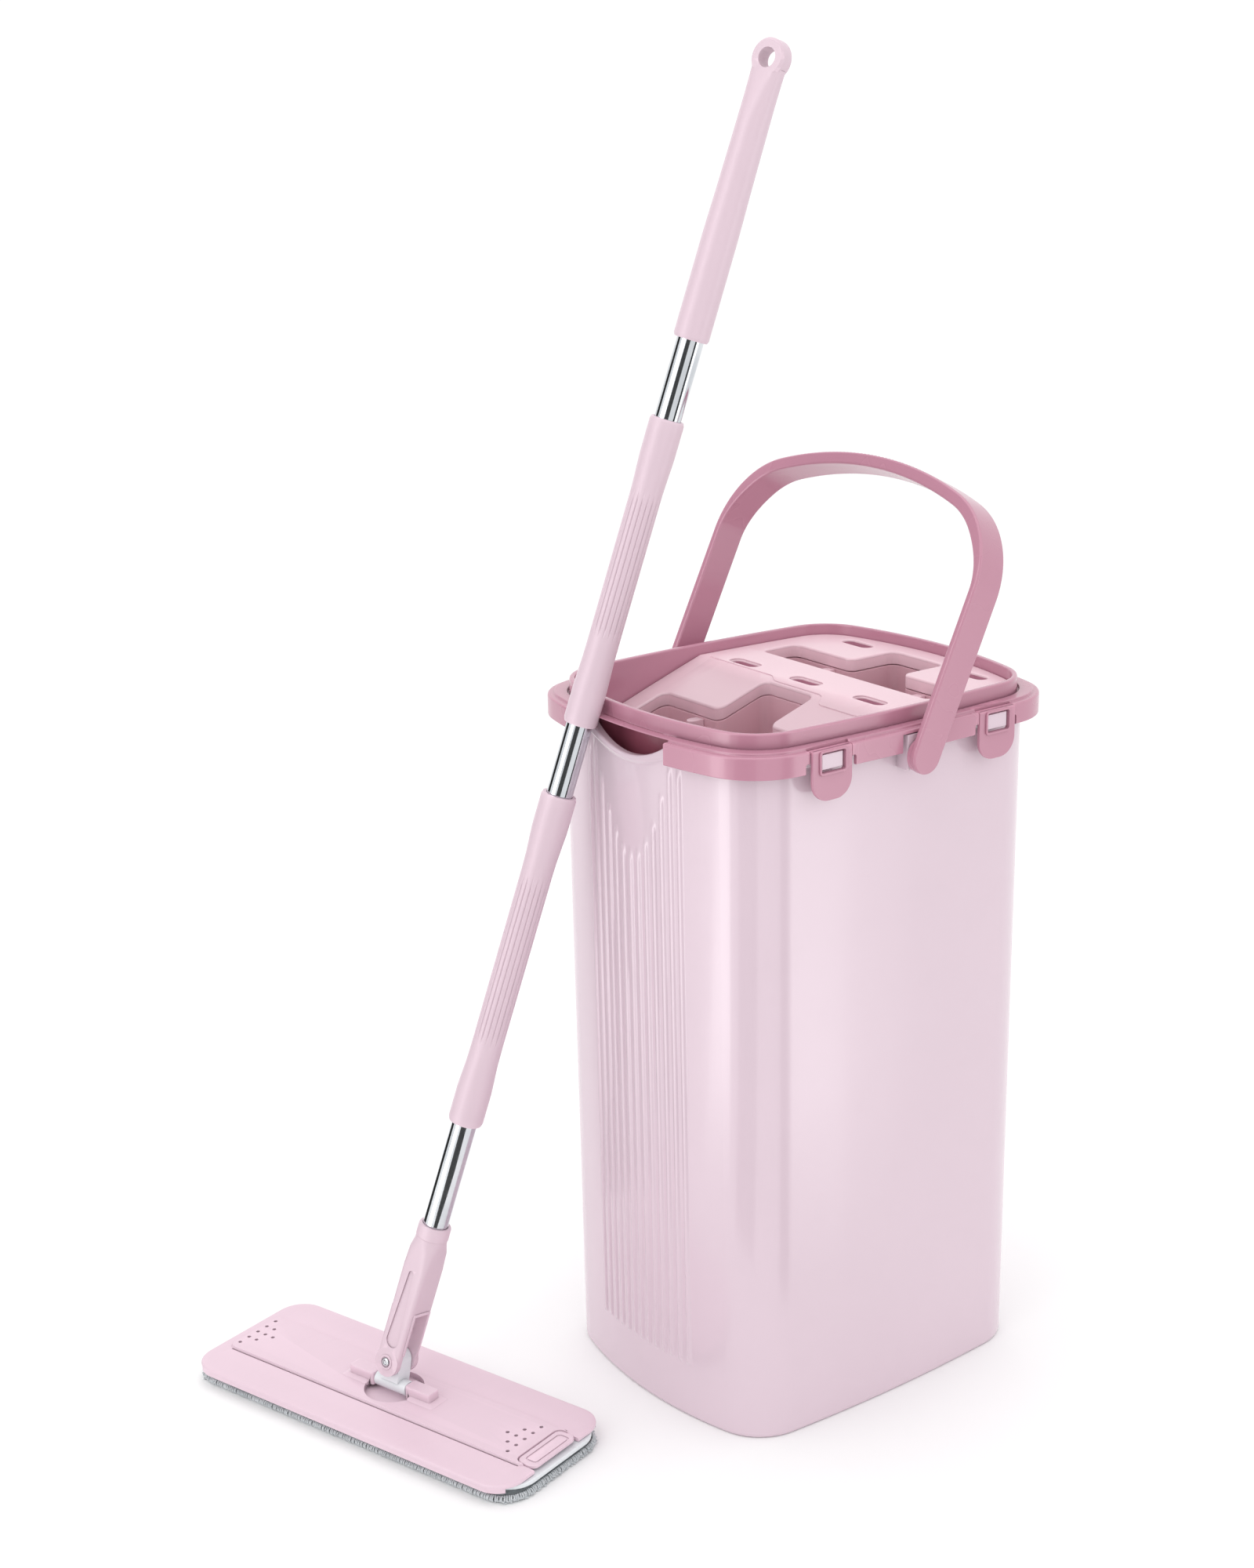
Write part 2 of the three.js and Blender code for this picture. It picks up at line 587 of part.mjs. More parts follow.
// The yoke in its own frame: origin on its axle, tongue standing up.
function yoke() {
  const hub = rod("y", 5.6, -BAR_FROM + 0.5, BAR_FROM - 0.5, 0, 0, 20);
  const neck = box([-TONGUE_HALF, -7.5, 0], [TONGUE_HALF, 7.5, YOKE_RISE]);
  const crown = rod("x", 7.5, -TONGUE_HALF, TONGUE_HALF, 0, YOKE_RISE, 20);
  const bore = rod("y", AXLE_R + FIT, -50, 50, 0, 0, 16);
  const pinBore = rod("x", AXLE_R + FIT, -50, 50, 0, YOKE_RISE, 16);
  return hub.add(neck).add(crown).subtract(bore).subtract(pinBore);
}

// ---- pole: origin on the pin, z up the pole, x along the pin --------------------------------
function poleSocket() {
  const shoulder = SOCKET_TOP - 12;
  const end = rod("x", FORK_FOOT_R, -FORK_HALF, FORK_HALF, 0, 0, 24);
  const outline = [
    [-FORK_FOOT_R, 0],
    [FORK_FOOT_R, 0],
    [FORK_WIDE / 2 + 0.5, 50],
    [FORK_WIDE / 2 + 1.6, shoulder],
    [-FORK_WIDE / 2 - 1.6, shoulder],
    [-FORK_WIDE / 2 - 0.5, 50],
  ].map(([y, z]) => new THREE.Vector2(y, z));
  const options = { depth: 2 * FORK_HALF, bevelEnabled: false };
  const shank = new THREE.ExtrudeGeometry(new THREE.Shape(outline), options)
    .rotateX(Math.PI / 2)
    .rotateZ(Math.PI / 2)
    .translate(-FORK_HALF, 0, 0);
  const mouth = rod("z", FORK_HALF, 60, SOCKET_TOP, 0, 0, 28);
  const gap = box([-TONGUE_HALF - 0.5, -20, -20], [TONGUE_HALF + 0.5, 20, FORK_WINDOW_TOP]);
  const bore = rod("z", TUBE_R + FIT, TUBE_FOOT - 2, SOCKET_TOP + CUT, 0, 0, 28);
  const pinBore = rod("x", AXLE_R + FIT, -50, 50, 0, 0, 16);
  return end.add(solid(shank)).add(mouth).subtract(gap).subtract(bore).subtract(pinBore);
}

function polePin() {
  const head = FORK_HALF + FIT;
  const shaft = rod("x", AXLE_R, -head - 0.5, head + 0.5, 0, 0, 16);
  const near = rod("x", PIN_HEAD_R, -head - 1.6, -head, 0, 0, 20);
  const far = rod("x", PIN_HEAD_R, head, head + 1.6, 0, 0, 20);
  return shaft.add(near).add(far);
}

const tube = (from, to) =>
  turned([
    [TUBE_R - TUBE_WALL, from],
    [TUBE_R, from],
    [TUBE_R, to],
    [TUBE_R - TUBE_WALL, to],
    [TUBE_R - TUBE_WALL, from],
  ]);

function sleeve([from, to], endR, waistR) {
  const bore = TUBE_R + FIT;
  const taper = 45;
  return turned([
    [bore, from],
    [endR - 0.8, from],
    [endR, from + 1.5],
    [endR, from + taper * 0.5],
    [waistR, from + taper],
    [waistR, to - taper],
    [endR, to - taper * 0.5],
    [endR, to - 1.5],
    [endR - 0.8, to],
    [bore, to],
    [bore, from],
  ]);
}

// A plug that joins two tubes end to end inside a sleeve, with a collar between them.
function coupler(middle) {
  const plugR = TUBE_R - TUBE_WALL - FIT;
  return turned([
    [0, middle - COUPLER_HALF],
    [plugR, middle - COUPLER_HALF],
    [plugR, middle - COLLAR_HALF],
    [TUBE_R, middle - COLLAR_HALF],
    [TUBE_R, middle + COLLAR_HALF],
    [plugR, middle + COLLAR_HALF],
    [plugR, middle + COUPLER_HALF],
    [0, middle + COUPLER_HALF],
  ]);
}

function grip() {
  const neck = HANG_HOLE - 14;
  const handle = turned([
    [0, GRIP_BOTTOM],
    [9.8, GRIP_BOTTOM],
    [10.5, GRIP_BOTTOM + 2],
    [10.4, GRIP_BOTTOM + 60],
    [9.4, neck - 16],
    [7.2, neck + 2],
    [LOOP_HALF, HANG_HOLE - 6],
    [0, HANG_HOLE - 6],
  ]);
  const loop = rod("x", LOOP_R, -LOOP_HALF, LOOP_HALF, 0, HANG_HOLE, 32);
  const neckBlock = box([-LOOP_HALF, -9, neck - 12], [LOOP_HALF, 9, HANG_HOLE - 3]);
  const bore = rod("z", TUBE_R + FIT, GRIP_BOTTOM - CUT, neck - 40, 0, 0, 24);
  const hole = rod("x", HOLE_R, -20, 20, 0, HANG_HOLE, 24);
  return handle.add(neckBlock).add(loop).subtract(bore).subtract(hole);
}

// ---- assembly -----------------------------------------------------------------------------
const product = new THREE.Group();

product.add(mesh("bucket_shell", bucketShell(), PALE()));
product.add(mesh("splash_frame", splashFrame(), ROSE()));
product.add(mesh("insert_plate", insertPlate(), LIGHT()));
product.add(mesh("wash_well", well(WASH_X), DEEP()));
product.add(mesh("dry_well", well(DRY_X), DEEP()));
for (const [slot, x0] of [["wash", WASH_X], ["dry", DRY_X]]) {
  product.add(mesh(`${slot}_scraper_left`, scraper(x0, 1), LIGHT()));
  product.add(mesh(`${slot}_scraper_right`, scraper(x0, -1), LIGHT()));
}

for (const side of [-1, 1]) {
  for (const x of [-TAB_X, TAB_X]) {
    const name = `clip_tab_${side < 0 ? "front" : "rear"}_${x < 0 ? "spout" : "far"}`;
    const tab = mesh(name, clipTab(), ROSE());
    tab.position.set(x, side * (wallY(SKIRT, TAB_X) - TAB_SUNK), LEDGE_TOP);
    tab.rotation.z = side < 0 ? Math.PI : 0;
    product.add(tab);
  }
}

const bail = mesh("bail_handle", bailHandle(), ROSE());
bail.position.set(0, 0, BAIL_AXIS_Z);
bail.rotation.y = BAIL_TILT;
product.add(bail);

const head = new THREE.Group();
head.position.set(HEAD_AT[0], HEAD_AT[1], 0);
head.rotation.z = HEAD_YAW;
product.add(head);
head.add(mesh("microfibre_pad", microfibrePad(), GREY()));
head.add(mesh("backing_plate", backingPlate(), WHITE()));
head.add(mesh("head_plate", headPlate(), PALE()));

const tabPiece = mesh("release_tab", releaseTab(), PALE());
tabPiece.position.set(0, -headEnd + TAB_DEEP, DECK_TOP);
head.add(tabPiece);

const axlePiece = mesh("yoke_axle", yokeAxle(), CHROME());
axlePiece.position.set(0, 0, AXLE_Z);
head.add(axlePiece);

const yokeFrame = new THREE.Group();
yokeFrame.position.set(0, 0, AXLE_Z);
yokeFrame.rotation.y = POLE_ROLL;
head.add(yokeFrame);
yokeFrame.add(mesh("yoke", yoke(), WHITE()));

const pole = new THREE.Group();
pole.position.set(0, 0, YOKE_RISE);
pole.rotation.x = POLE_PITCH;
yokeFrame.add(pole);
const joinLower = (SLEEVE_LOWER[0] + SLEEVE_LOWER[1]) / 2;
const joinUpper = (SLEEVE_UPPER[0] + SLEEVE_UPPER[1]) / 2;
pole.add(mesh("pole_socket", poleSocket(), PALE()));
pole.add(mesh("pole_pin", polePin(), CHROME()));
pole.add(mesh("tube_lower", tube(TUBE_FOOT, joinLower - COLLAR_HALF - FIT), CHROME()));
pole.add(mesh("tube_middle", tube(joinLower + COLLAR_HALF + FIT, joinUpper - COLLAR_HALF - FIT), CHROME()));
pole.add(mesh("tube_upper", tube(joinUpper + COLLAR_HALF + FIT, HANG_HOLE - 58), CHROME()));
pole.add(mesh("coupler_lower", coupler(joinLower), WHITE()));
pole.add(mesh("coupler_upper", coupler(joinUpper), WHITE()));
pole.add(mesh("sleeve_lower", sleeve(SLEEVE_LOWER, 10.9, 9.6), PALE()));
pole.add(mesh("sleeve_upper", sleeve(SLEEVE_UPPER, 10.3, 9.4), PALE()));
pole.add(mesh("grip", grip(), PALE()));

export default product;
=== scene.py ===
"""Looks of the flat mop and its two-slot bucket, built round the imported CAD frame."""

import json
from math import atan2, cos, hypot, pi, radians, sin, sqrt, tan

import bmesh
import bpy
import numpy as np
from mathutils import Matrix, Vector


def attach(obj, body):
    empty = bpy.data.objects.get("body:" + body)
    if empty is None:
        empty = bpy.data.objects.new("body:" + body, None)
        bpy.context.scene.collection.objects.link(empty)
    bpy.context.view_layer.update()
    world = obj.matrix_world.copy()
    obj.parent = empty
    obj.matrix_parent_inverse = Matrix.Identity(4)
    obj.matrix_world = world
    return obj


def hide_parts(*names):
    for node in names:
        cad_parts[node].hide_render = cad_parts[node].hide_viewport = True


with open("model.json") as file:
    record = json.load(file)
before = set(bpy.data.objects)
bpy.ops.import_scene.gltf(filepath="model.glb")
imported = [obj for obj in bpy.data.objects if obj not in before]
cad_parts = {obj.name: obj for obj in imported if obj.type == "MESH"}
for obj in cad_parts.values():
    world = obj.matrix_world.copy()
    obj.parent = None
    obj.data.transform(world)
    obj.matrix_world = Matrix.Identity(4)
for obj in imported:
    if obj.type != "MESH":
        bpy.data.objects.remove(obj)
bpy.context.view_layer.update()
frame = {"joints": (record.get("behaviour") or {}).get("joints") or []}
JOINTS = {j["name"]: j for j in frame["joints"]}
MM = 0.001
RNG = np.random.default_rng(7)

# ---- the CAD's own dimensions, in millimetres ----
# Footprints: length, width, bow of the long sides, bow of the ends, corner radius.
BASE = (250.7, 205.8, 8.2, 23.5, 32.4)
MOUTH = (256.0, 208.8, 7.0, 19.7, 36.8)
SKIRT = (275.0, 227.8, 7.6, 21.2, 41.5)
RIM = (251.4, 204.2, 6.9, 19.4, 36.0)
SHELL_WALL, FLOOR, SHELL_TOP, FLANGE_DEPTH, FLANGE_OUT = 2.5, 3.0, 442.6, 8.0, 4.0
SKIRT_BOTTOM, LEDGE_TOP, RIM_TOP, WALL_BOTTOM, FRAME_WALL, FRAME_INSET = 432, 445.4, 455.5, 408, 2.4, 3.7
SPOUT_HALF, SPOUT_DIP, DIP_HALF = 43.0, 429.0, 40.0
RIBS, RIB_PITCH, RIB_R, RIB_SUNK, RIB_BOTTOM = 13, 7.35, 2.4, 1.3, 37.0
TONGUE_BOTTOM, TONGUE_FLARE = 367.0, 89.0
TAB_X, TAB_W, TAB_BOTTOM, TAB_THICK, TAB_SUNK = 66.0, 30.0, 414.5, 2.8, 1.2
WINDOW_W, WINDOW_H, WINDOW_DROP = 18.0, 12.0, 1.6
PLATE_TOP, PLATE_WALL, PLATE_SKIRT, CREASE_X, PLATE_END = 448.8, 3.0, 14.0, 2.0, -86.0
SLOPE = tan(radians(18.2))
SLOT_HALF, SLOT_W, NOTCH_HALF, NOTCH_DEEP, SLOT_CORNER = 80.0, 28.8, 24.0, 37.0, 6.0
WASH_X, DRY_X, LIP_DEEP, WELL_DEEP, WELL_WALL = -69.0, 40.0, 8.5, 120.0, 2.4
SCRAPER_Y, SCRAPER_R, SCRAPER_OUT, SCRAPER_TALL = 43.0, 3.5, 6.5, 96.0
VENTS = [(10, -60), (10, 0), (10, 60), (101, -54), (101, 54)]
BAIL_AXIS_Z, BAIL_HALF, BAIL_STRAP, BAIL_THICK, BAIL_FOOT = 429.6, 122.5, 21.6, 5.0, 7.8
BAIL_SHOULDER, BAIL_CORNER, BAIL_TURN, BAIL_TILT = 100.0, 58.0, radians(72), radians(26)
HEAD_LONG, HEAD_WIDE, HEAD_YAW = 265.5, 99.6, radians(16)
POLE_ROLL, POLE_PITCH, YOKE_RISE = radians(13.15), radians(11.4), 15.8
SLEEVES = {"lower": (166.2, 383.3, 10.9, 9.6), "upper": (428.5, 616.6, 10.3, 9.4)}
GRIP_BOTTOM, HANG_HOLE, LOOP_R, HOLE_R, SOCKET_TOP = 664.0, 826.0, 11.2, 5.7, 95.3

# Looks alone: ribs' ends, the dip's wall, notches beside the tabs, step on the plate, bail, sleeves.
RIB_FADE, DIP_FROM, SCOOP_DEEP, RELIEF_W, RELIEF_TOP = 3.0, 385.0, 9.0, 3.2, 438.4
BAND_X, BAND_SWING, BAND_HALF, BAND_TALL = -1.5, 9.0, 88.0, 1.4
BAIL_SWELL, SERRATION, FLUTES, FLUTE_DEEP, FLUTE_SHARE = 3.0, 0.9, 18, 0.55, 0.2
# Where cuts start below the frame and end outside it.
CUT_LOW, CUT_FAR = 400.0, 140.0
# They stand a prism up, so that it runs along X or along Y.
ALONG_X = Matrix(((0, 0, 1, 0), (1, 0, 0, 0), (0, 1, 0, 0), (0, 0, 0, 1)))
ALONG_Y = Matrix(((1, 0, 0, 0), (0, 0, 1, 0), (0, 1, 0, 0), (0, 0, 0, 1)))


# ---- materials ----
def linear(r, g, b):
    """Linear colour of an sRGB colour given from 0 to 255."""
    return [((c / 255 + 0.055) / 1.055) ** 2.4 for c in (r, g, b)] + [1.0]


class Nodes:
    """A material's node tree, with short calls that add and join nodes."""

    def __init__(self, name):
        self.material = bpy.data.materials.new(name)
        self.material.use_nodes = True
        self.tree = self.material.node_tree
        self.bsdf = self.tree.nodes["Principled BSDF"]
        self.coords = self.tree.nodes.new("ShaderNodeTexCoord").outputs["Object"]

    def add(self, kind, inputs=(), **settings):
        node = self.tree.nodes.new("ShaderNode" + kind)
        for key, value in settings.items():
            setattr(node, key, value)
        for key, value in dict(inputs).items():
            self.feed(node.inputs[key], value)
        return node

    def feed(self, socket, value):
        """Links a socket to another one, or sets its value."""
        if isinstance(value, bpy.types.NodeSocket):
            self.tree.links.new(value, socket)
        else:
            socket.default_value = value

    def noise(self, scale, detail=2.0, stretch=(1, 1, 1), rough=0.5):
        spot = self.add("Mapping", {"Vector": self.coords, "Scale": stretch})
        inputs = {"Vector": spot.outputs[0], "Scale": scale, "Detail": detail, "Roughness": rough}
        return self.add("TexNoise", inputs).outputs["Fac"]

    def ramp(self, fac, low, high, at=(0.3, 0.7)):
        inputs = {"Value": fac, "From Min": at[0], "From Max": at[1], "To Min": low, "To Max": high}
        return self.add("MapRange", inputs).outputs["Result"]

    def mix(self, fac, a, b):
        return self.add("Mix", {0: fac, 6: a, 7: b}, data_type="RGBA").outputs[2]

    def bump(self, height, strength, distance):
        inputs = {"Height": height, "Strength": strength, "Distance": distance}
        return self.add("Bump", inputs).outputs["Normal"]

    def set(self, **values):
        for key, value in values.items():
            self.feed(self.bsdf.inputs[key.replace("_", " ")], value)
        return self.material


def tone(colour, gain):
    return [min(1.0, c * gain) for c in colour[:3]] + [1.0]


def plastic(
    name, colour, rough, grain, coat, edge=1.12, draw=(1, 1, 1), shine=0.5, crevice_shade=0.9, slope_shade=None
):
    """Moulded plastic: clouding, flow marks along draw, painted shade in crevices, painted highlights along
    edges, haze and fine grain.

    The last argument is a stretch of X, in metres, over which the plastic turns darker towards -X: painted
    shade for the sloped wash half of the insert plate.
    """
    n = Nodes(name)
    cloud = n.mix(n.ramp(n.noise(8, 2), 0, 1), tone(colour, 0.985), tone(colour, 1.01))
    flow = n.mix(n.ramp(n.noise(30, 3, draw), 0, 0.3, (0.5, 0.85)), cloud, tone(colour, 0.95))
    # Painted shade: crevices and recesses, found by occlusion within 9 mm, are mixed towards a darker copy of
    # the colour.
    open_sky = n.add("AmbientOcclusion", {"Distance": 0.009}, only_local=True, samples=6).outputs["AO"]
    with_painted_shade = n.mix(n.ramp(open_sky, crevice_shade, 0, (0.2, 0.85)), flow, tone(colour, 0.52))
    # Painted shade: the colour darkens towards -X for the insert plate's sloped half.
    if slope_shade:
        along = n.add("SeparateXYZ", {"Vector": n.coords}).outputs["X"]
        with_painted_shade = n.mix(n.ramp(along, 0.75, 0, slope_shade), with_painted_shade, tone(colour, 0.78))
    # Painted highlight: sharp edges, found by pointiness, are mixed towards a lighter copy of the colour.
    corners = n.add("NewGeometry").outputs["Pointiness"]
    with_edge_highlight = n.mix(n.ramp(corners, 0, 0.8, (0.52, 0.6)), with_painted_shade, tone(colour, edge))
    haze = n.ramp(n.noise(14, 3, rough=0.6), rough - 0.02, rough + 0.03)
    skin = n.bump(n.noise(1100, 3), grain, 0.00006)
    n.set(Specular_IOR_Level=shine, Coat_Weight=coat, Coat_Roughness=0.1)
    return n.set(Base_Color=with_edge_highlight, Roughness=haze, Normal=skin)


def chrome(name):
    """Chrome-plated tube: fine lengthwise drawing lines and light fingerprints."""
    n = Nodes(name)
    tint = n.mix(n.ramp(n.noise(30, 3), 0, 1), linear(226, 229, 232), linear(196, 200, 205))
    haze = n.ramp(n.noise(90, 4, rough=0.7), 0.05, 0.14)
    lines = n.bump(n.noise(700, 2, (1, 1, 0.03)), 0.04, 0.0001)
    return n.set(Base_Color=tint, Roughness=haze, Normal=lines, Metallic=1.0)


def steel(name):
    n = Nodes(name)
    tint = n.mix(n.ramp(n.noise(500, 3), 0, 1), linear(200, 200, 203), linear(160, 160, 165))
    haze = n.ramp(n.noise(300, 3), 0.2, 0.38)
    marks = n.bump(n.noise(2500, 2), 0.08, 0.0001)
    return n.set(Base_Color=tint, Roughness=haze, Normal=marks, Metallic=1.0)


def microfibre(name, low, high):
    """Looped yarn: fine strands between a darker and a lighter tone, darker patches and a soft sheen."""
    n = Nodes(name)
    strands = n.noise(900, 4, rough=0.7)
    yarn = n.mix(n.ramp(strands, 0, 1), low, high)
    patches = n.mix(n.ramp(n.noise(60, 3), 0, 0.45), yarn, tone(low, 0.8))
    fuzz = n.bump(strands, 0.5, 0.0006)
    return n.set(Base_Color=patches, Roughness=0.95, Normal=fuzz, Sheen_Weight=0.35, Sheen_Roughness=0.5)


PALE = plastic("pale_pink_plastic", linear(218, 197, 208), 0.2, 0.02, 0.4, 1.0)
MOP_PINK = plastic("mop_pink_plastic", linear(227, 202, 214), 0.36, 0.05, 0.05, draw=(1, 8, 1), shine=0.3)
# Painted shade: a darker copy of the mop's pink for the pole's socket, sleeves and grip, which catch more
# light from the left.
POLE_PINK_SHADED = plastic("pole_shaded_pink_plastic", linear(217, 194, 205), 0.36, 0.05, 0.05, draw=(8, 8, 1), shine=0.3)
ROSE = plastic("dusty_rose_plastic", linear(188, 132, 152), 0.26, 0.05, 0.3, 1.25, crevice_shade=0.55)
# Painted shade on the plate's sloped wash half, darker towards -X.
PLATE = plastic("plate_pink_plastic", linear(234, 201, 211), 0.36, 0.05, 0.15, 1.15, slope_shade=(-0.008, 0.004))
WELL = plastic("deep_rose_plastic", linear(222, 180, 191), 0.45, 0.06, 0.1)
# Painted shade: a darker copy of the frame's rose, for the frame wall behind the pouring dip.
SHADE = plastic("spout_painted_shade_plastic", linear(158, 86, 105), 0.3, 0.05, 0.2, 1.1)
WHITE = plastic("white_plastic", linear(226, 230, 233), 0.4, 0.05, 0.1)
CHROME = chrome("chrome_tube")
STEEL = steel("steel_pin")
# Painted shade: the backing cloth takes darker yarn tones, standing in for the shadow gap under the head.
PAD_BASE_SHADED = microfibre("microfibre_shaded_backing", linear(128, 134, 138), linear(170, 176, 180))
PAD_LOOP = microfibre("microfibre_loops", linear(176, 182, 187), linear(232, 235, 237))


# ---- mesh building ----
def join_parts(parts):
    """One (verts, faces) pair from several."""
    verts, faces, start = [], [], 0
    for v, f in parts:
        verts.append(np.asarray(v, float))
        faces += [tuple(i + start for i in face) for face in f]
        start += len(v)
    return np.concatenate(verts), faces


def loft(rings, closed=False):
    """Quads between rings of the same number of points, closed into a loop or capped at both ends."""
    n = len(rings[0])
    faces = []
    count = len(rings) if closed else len(rings) - 1
    for i in range(count):
        a, b = i * n, ((i + 1) % len(rings)) * n
        faces += [(a + j, a + (j + 1) % n, b + (j + 1) % n, b + j) for j in range(n)]
    if not closed:
        faces.append(tuple(range(n))[::-1])
        faces.append(tuple((len(rings) - 1) * n + j for j in range(n)))
    return np.concatenate(rings), faces


def fillet(rings, radii, steps=3, closed=False):
    """Rounds a loft's profile: ring i turns with radius radii[i]."""
    out = []
    last = len(rings) - 1
    for i, (p, r) in enumerate(zip(rings, radii)):
        if r == 0 or (not closed and i in (0, last)):
            out.append(p)
            continue
        before, after = rings[i - 1] - p, rings[(i + 1) % (last + 1)] - p
        la = np.linalg.norm(before, axis=1, keepdims=True)
        lb = np.linalg.norm(after, axis=1, keepdims=True)
        start = p + before / la * np.minimum(r, la * 0.45)
        end = p + after / lb * np.minimum(r, lb * 0.45)
        for t in np.linspace(0, 1, steps + 1):
            out.append((1 - t) ** 2 * start + 2 * t * (1 - t) * p + t * t * end)
    return out


def flat_ring(points, z):
    points = np.asarray(points, float)
    return np.column_stack([points, np.full(len(points), float(z))])


def smooth(t):
    t = np.clip(t, 0, 1)
    return t * t * (3 - 2 * t)


def arc(cx, cy, r, a0, a1, steps, end=False):
    t = np.linspace(a0, a1, steps, endpoint=end)
    return np.column_stack([cx + r * np.cos(t), cy + r * np.sin(t)])


def round_ring(r, z, steps):
    return flat_ring(arc(0, 0, r, 0, 2 * pi, steps), z)


# Points on each arc of a footprint, most of them on the tank's end with the ribs.
TANK_STEPS = (24, 14, 34, 14, 260, 14, 34, 14)
FRAME_STEPS = (24, 12, 30, 12, 72, 12, 30, 12)
PLATE_STEPS = (24, 12, 30, 12, 40, 12, 30, 12)


def bow_radius(chord, bow):
    return ((chord / 2) ** 2 + bow**2) / (2 * bow)


def footprint(size, inset, steps):
    """Outline of a rounded rectangle with bowed sides, anticlockwise from the far end."""
    long, wide, bow_long, bow_wide, corner = size
    side_r, end_r = bow_radius(long, bow_long), bow_radius(wide, bow_wide)
    side_y, end_x = wide / 2 - side_r, long / 2 - end_r
    apart = hypot(end_x, side_y)
    to_side, to_end = side_r - corner, end_r - corner
    along = (to_side**2 - to_end**2 + apart**2) / (2 * apart)
    across = sqrt(to_side**2 - along**2)
    ex, ey = end_x / apart, -side_y / apart
    cx = ex * along + ey * across
    cy = side_y + ey * along - ex * across
    te, ts = atan2(cy, cx - end_x), atan2(cy - side_y, cx)
    side, end, corner = side_r - inset, end_r - inset, corner - inset
    arcs = [
        (end_x, 0, end, -te, te),
        (cx, cy, corner, te, ts),
        (0, side_y, side, ts, pi - ts),
        (-cx, cy, corner, pi - ts, pi - te),
        (-end_x, 0, end, pi - te, pi + te),
        (-cx, -cy, corner, pi + te, pi + ts),
        (0, -side_y, side, pi + ts, 2 * pi - ts),
        (cx, -cy, corner, 2 * pi - ts, 2 * pi - te),
    ]
    return np.concatenate([arc(*a, k) for a, k in zip(arcs, steps)])


def travelled(points):
    """The distance along a line at each of its points."""
    return np.concatenate([[0], np.cumsum(np.linalg.norm(np.diff(points, axis=0), axis=1))])


def rounded_rect(x0, x1, y0, y1, r, steps=8, straight=1):
    """Outline of a rounded rectangle, anticlockwise, with extra points along its straight sides."""
    q = pi / 2
    corners = [(x1 - r, y0 + r, -q), (x1 - r, y1 - r, 0), (x0 + r, y1 - r, q), (x0 + r, y0 + r, 2 * q)]
    pts = []
    for i, (cx, cy, a) in enumerate(corners):
        pts.append(arc(cx, cy, r, a, a + q, steps, True))
        nx, ny, na = corners[(i + 1) % 4]
        end, begin = pts[-1][-1], np.array([nx + r * cos(na), ny + r * sin(na)])
        for k in range(1, straight):
            pts.append((end + (begin - end) * k / straight)[None])
    return np.concatenate(pts)


def slot_outline(x0, grow=0.0):
    """Plan of a slot: a long bar for the mop head with a notch for the pole's joint."""
    r = SLOT_CORNER + grow
    left, right, far = x0 - grow, x0 + SLOT_W + grow, x0 + SLOT_W + NOTCH_DEEP + grow
    y, n, q, inner = SLOT_HALF + grow, NOTCH_HALF + grow, pi / 2, SLOT_CORNER - grow * 0.5
    arcs = [
        (left + r, -y + r, r, 2 * q, 3 * q),
        (right - r, -y + r, r, -q, 0),
        (right + inner, -n - inner, inner, 2 * q, q),
        (far - r, -n + r, r, -q, 0),
        (far - r, n - r, r, 0, q),
        (right + inner, n + inner, inner, 3 * q, 2 * q),
        (right - r, y - r, r, 0, q),
        (left + r, y - r, r, q, 2 * q),
    ]
    return np.concatenate([arc(*a, 6, True) for a in arcs])


def centred_rect(half_x, half_y, r, steps, straight=1):
    return rounded_rect(-half_x, half_x, -half_y, half_y, r, steps, straight)


def turned(profile, steps=64, axis="z"):
    """A lathe body from [radius, height] points that start and end on the axis, or close on themselves."""
    closed = profile[0][0] > 0
    rings = [round_ring(r, z, steps) for r, z in profile]
    verts, faces = loft(rings if closed else rings[1:-1], closed)
    order = {"z": (0, 1, 2), "y": (0, 2, 1), "x": (2, 1, 0)}[axis]
    return verts[:, order], faces


def curve_profile(points, radii):
    """An open [radius, height] profile with its corners rounded."""
    rings = [np.array([p], float) for p in points]
    return [tuple(r[0]) for r in fillet(rings, radii)]


def pipe(axis, bore, r, low, high, steps, soft):
    """A tube along an axis with its outer edges rounded."""
    profile = [(bore, low), (r, low), (r, high), (bore, high)]
    return turned(curve_profile(profile, [0, soft, soft, 0]), steps, axis)


def prism(outline, low, high):
    return loft([flat_ring(outline, low), flat_ring(outline, high)])


def brick(low, high, r=0.0, steps=2):
    """A block. With r, its upright edges are rounded and its top and bottom are softened."""
    (x0, y0, z0), (x1, y1, z1) = low, high
    if r == 0:
        outline = np.array([(x0, y0), (x1, y0), (x1, y1), (x0, y1)], float)
        return prism(outline, z0, z1)
    outer = rounded_rect(x0, x1, y0, y1, r, steps + 1)
    inner = rounded_rect(x0 + r, x1 - r, y0 + r, y1 - r, 1e-3, steps + 1)
    rings = [flat_ring(inner, z0), flat_ring(outer, z0), flat_ring(outer, z1), flat_ring(inner, z1)]
    return loft(fillet(rings, [0, r, r, 0], steps))


def cylinder(axis, r, low, high, u=0.0, v=0.0, steps=32, soft=0.0):
    """A round bar along an axis, centred at (u, v) on the other two."""
    soft = max(soft, 1e-4)
    points = [(0, low), (r - soft, low), (r, low + soft), (r, high - soft), (r - soft, high), (0, high)]
    verts, faces = turned(points, steps, axis)
    shift = {"x": (0, u, v), "y": (u, 0, v), "z": (u, v, 0)}[axis]
    return verts + np.array(shift), faces


def span(side, near, far):
    """The two distances on one side of the middle, in rising order."""
    return sorted((side * near, side * far))


def lift(height):
    return Matrix.Translation((0, 0, height))


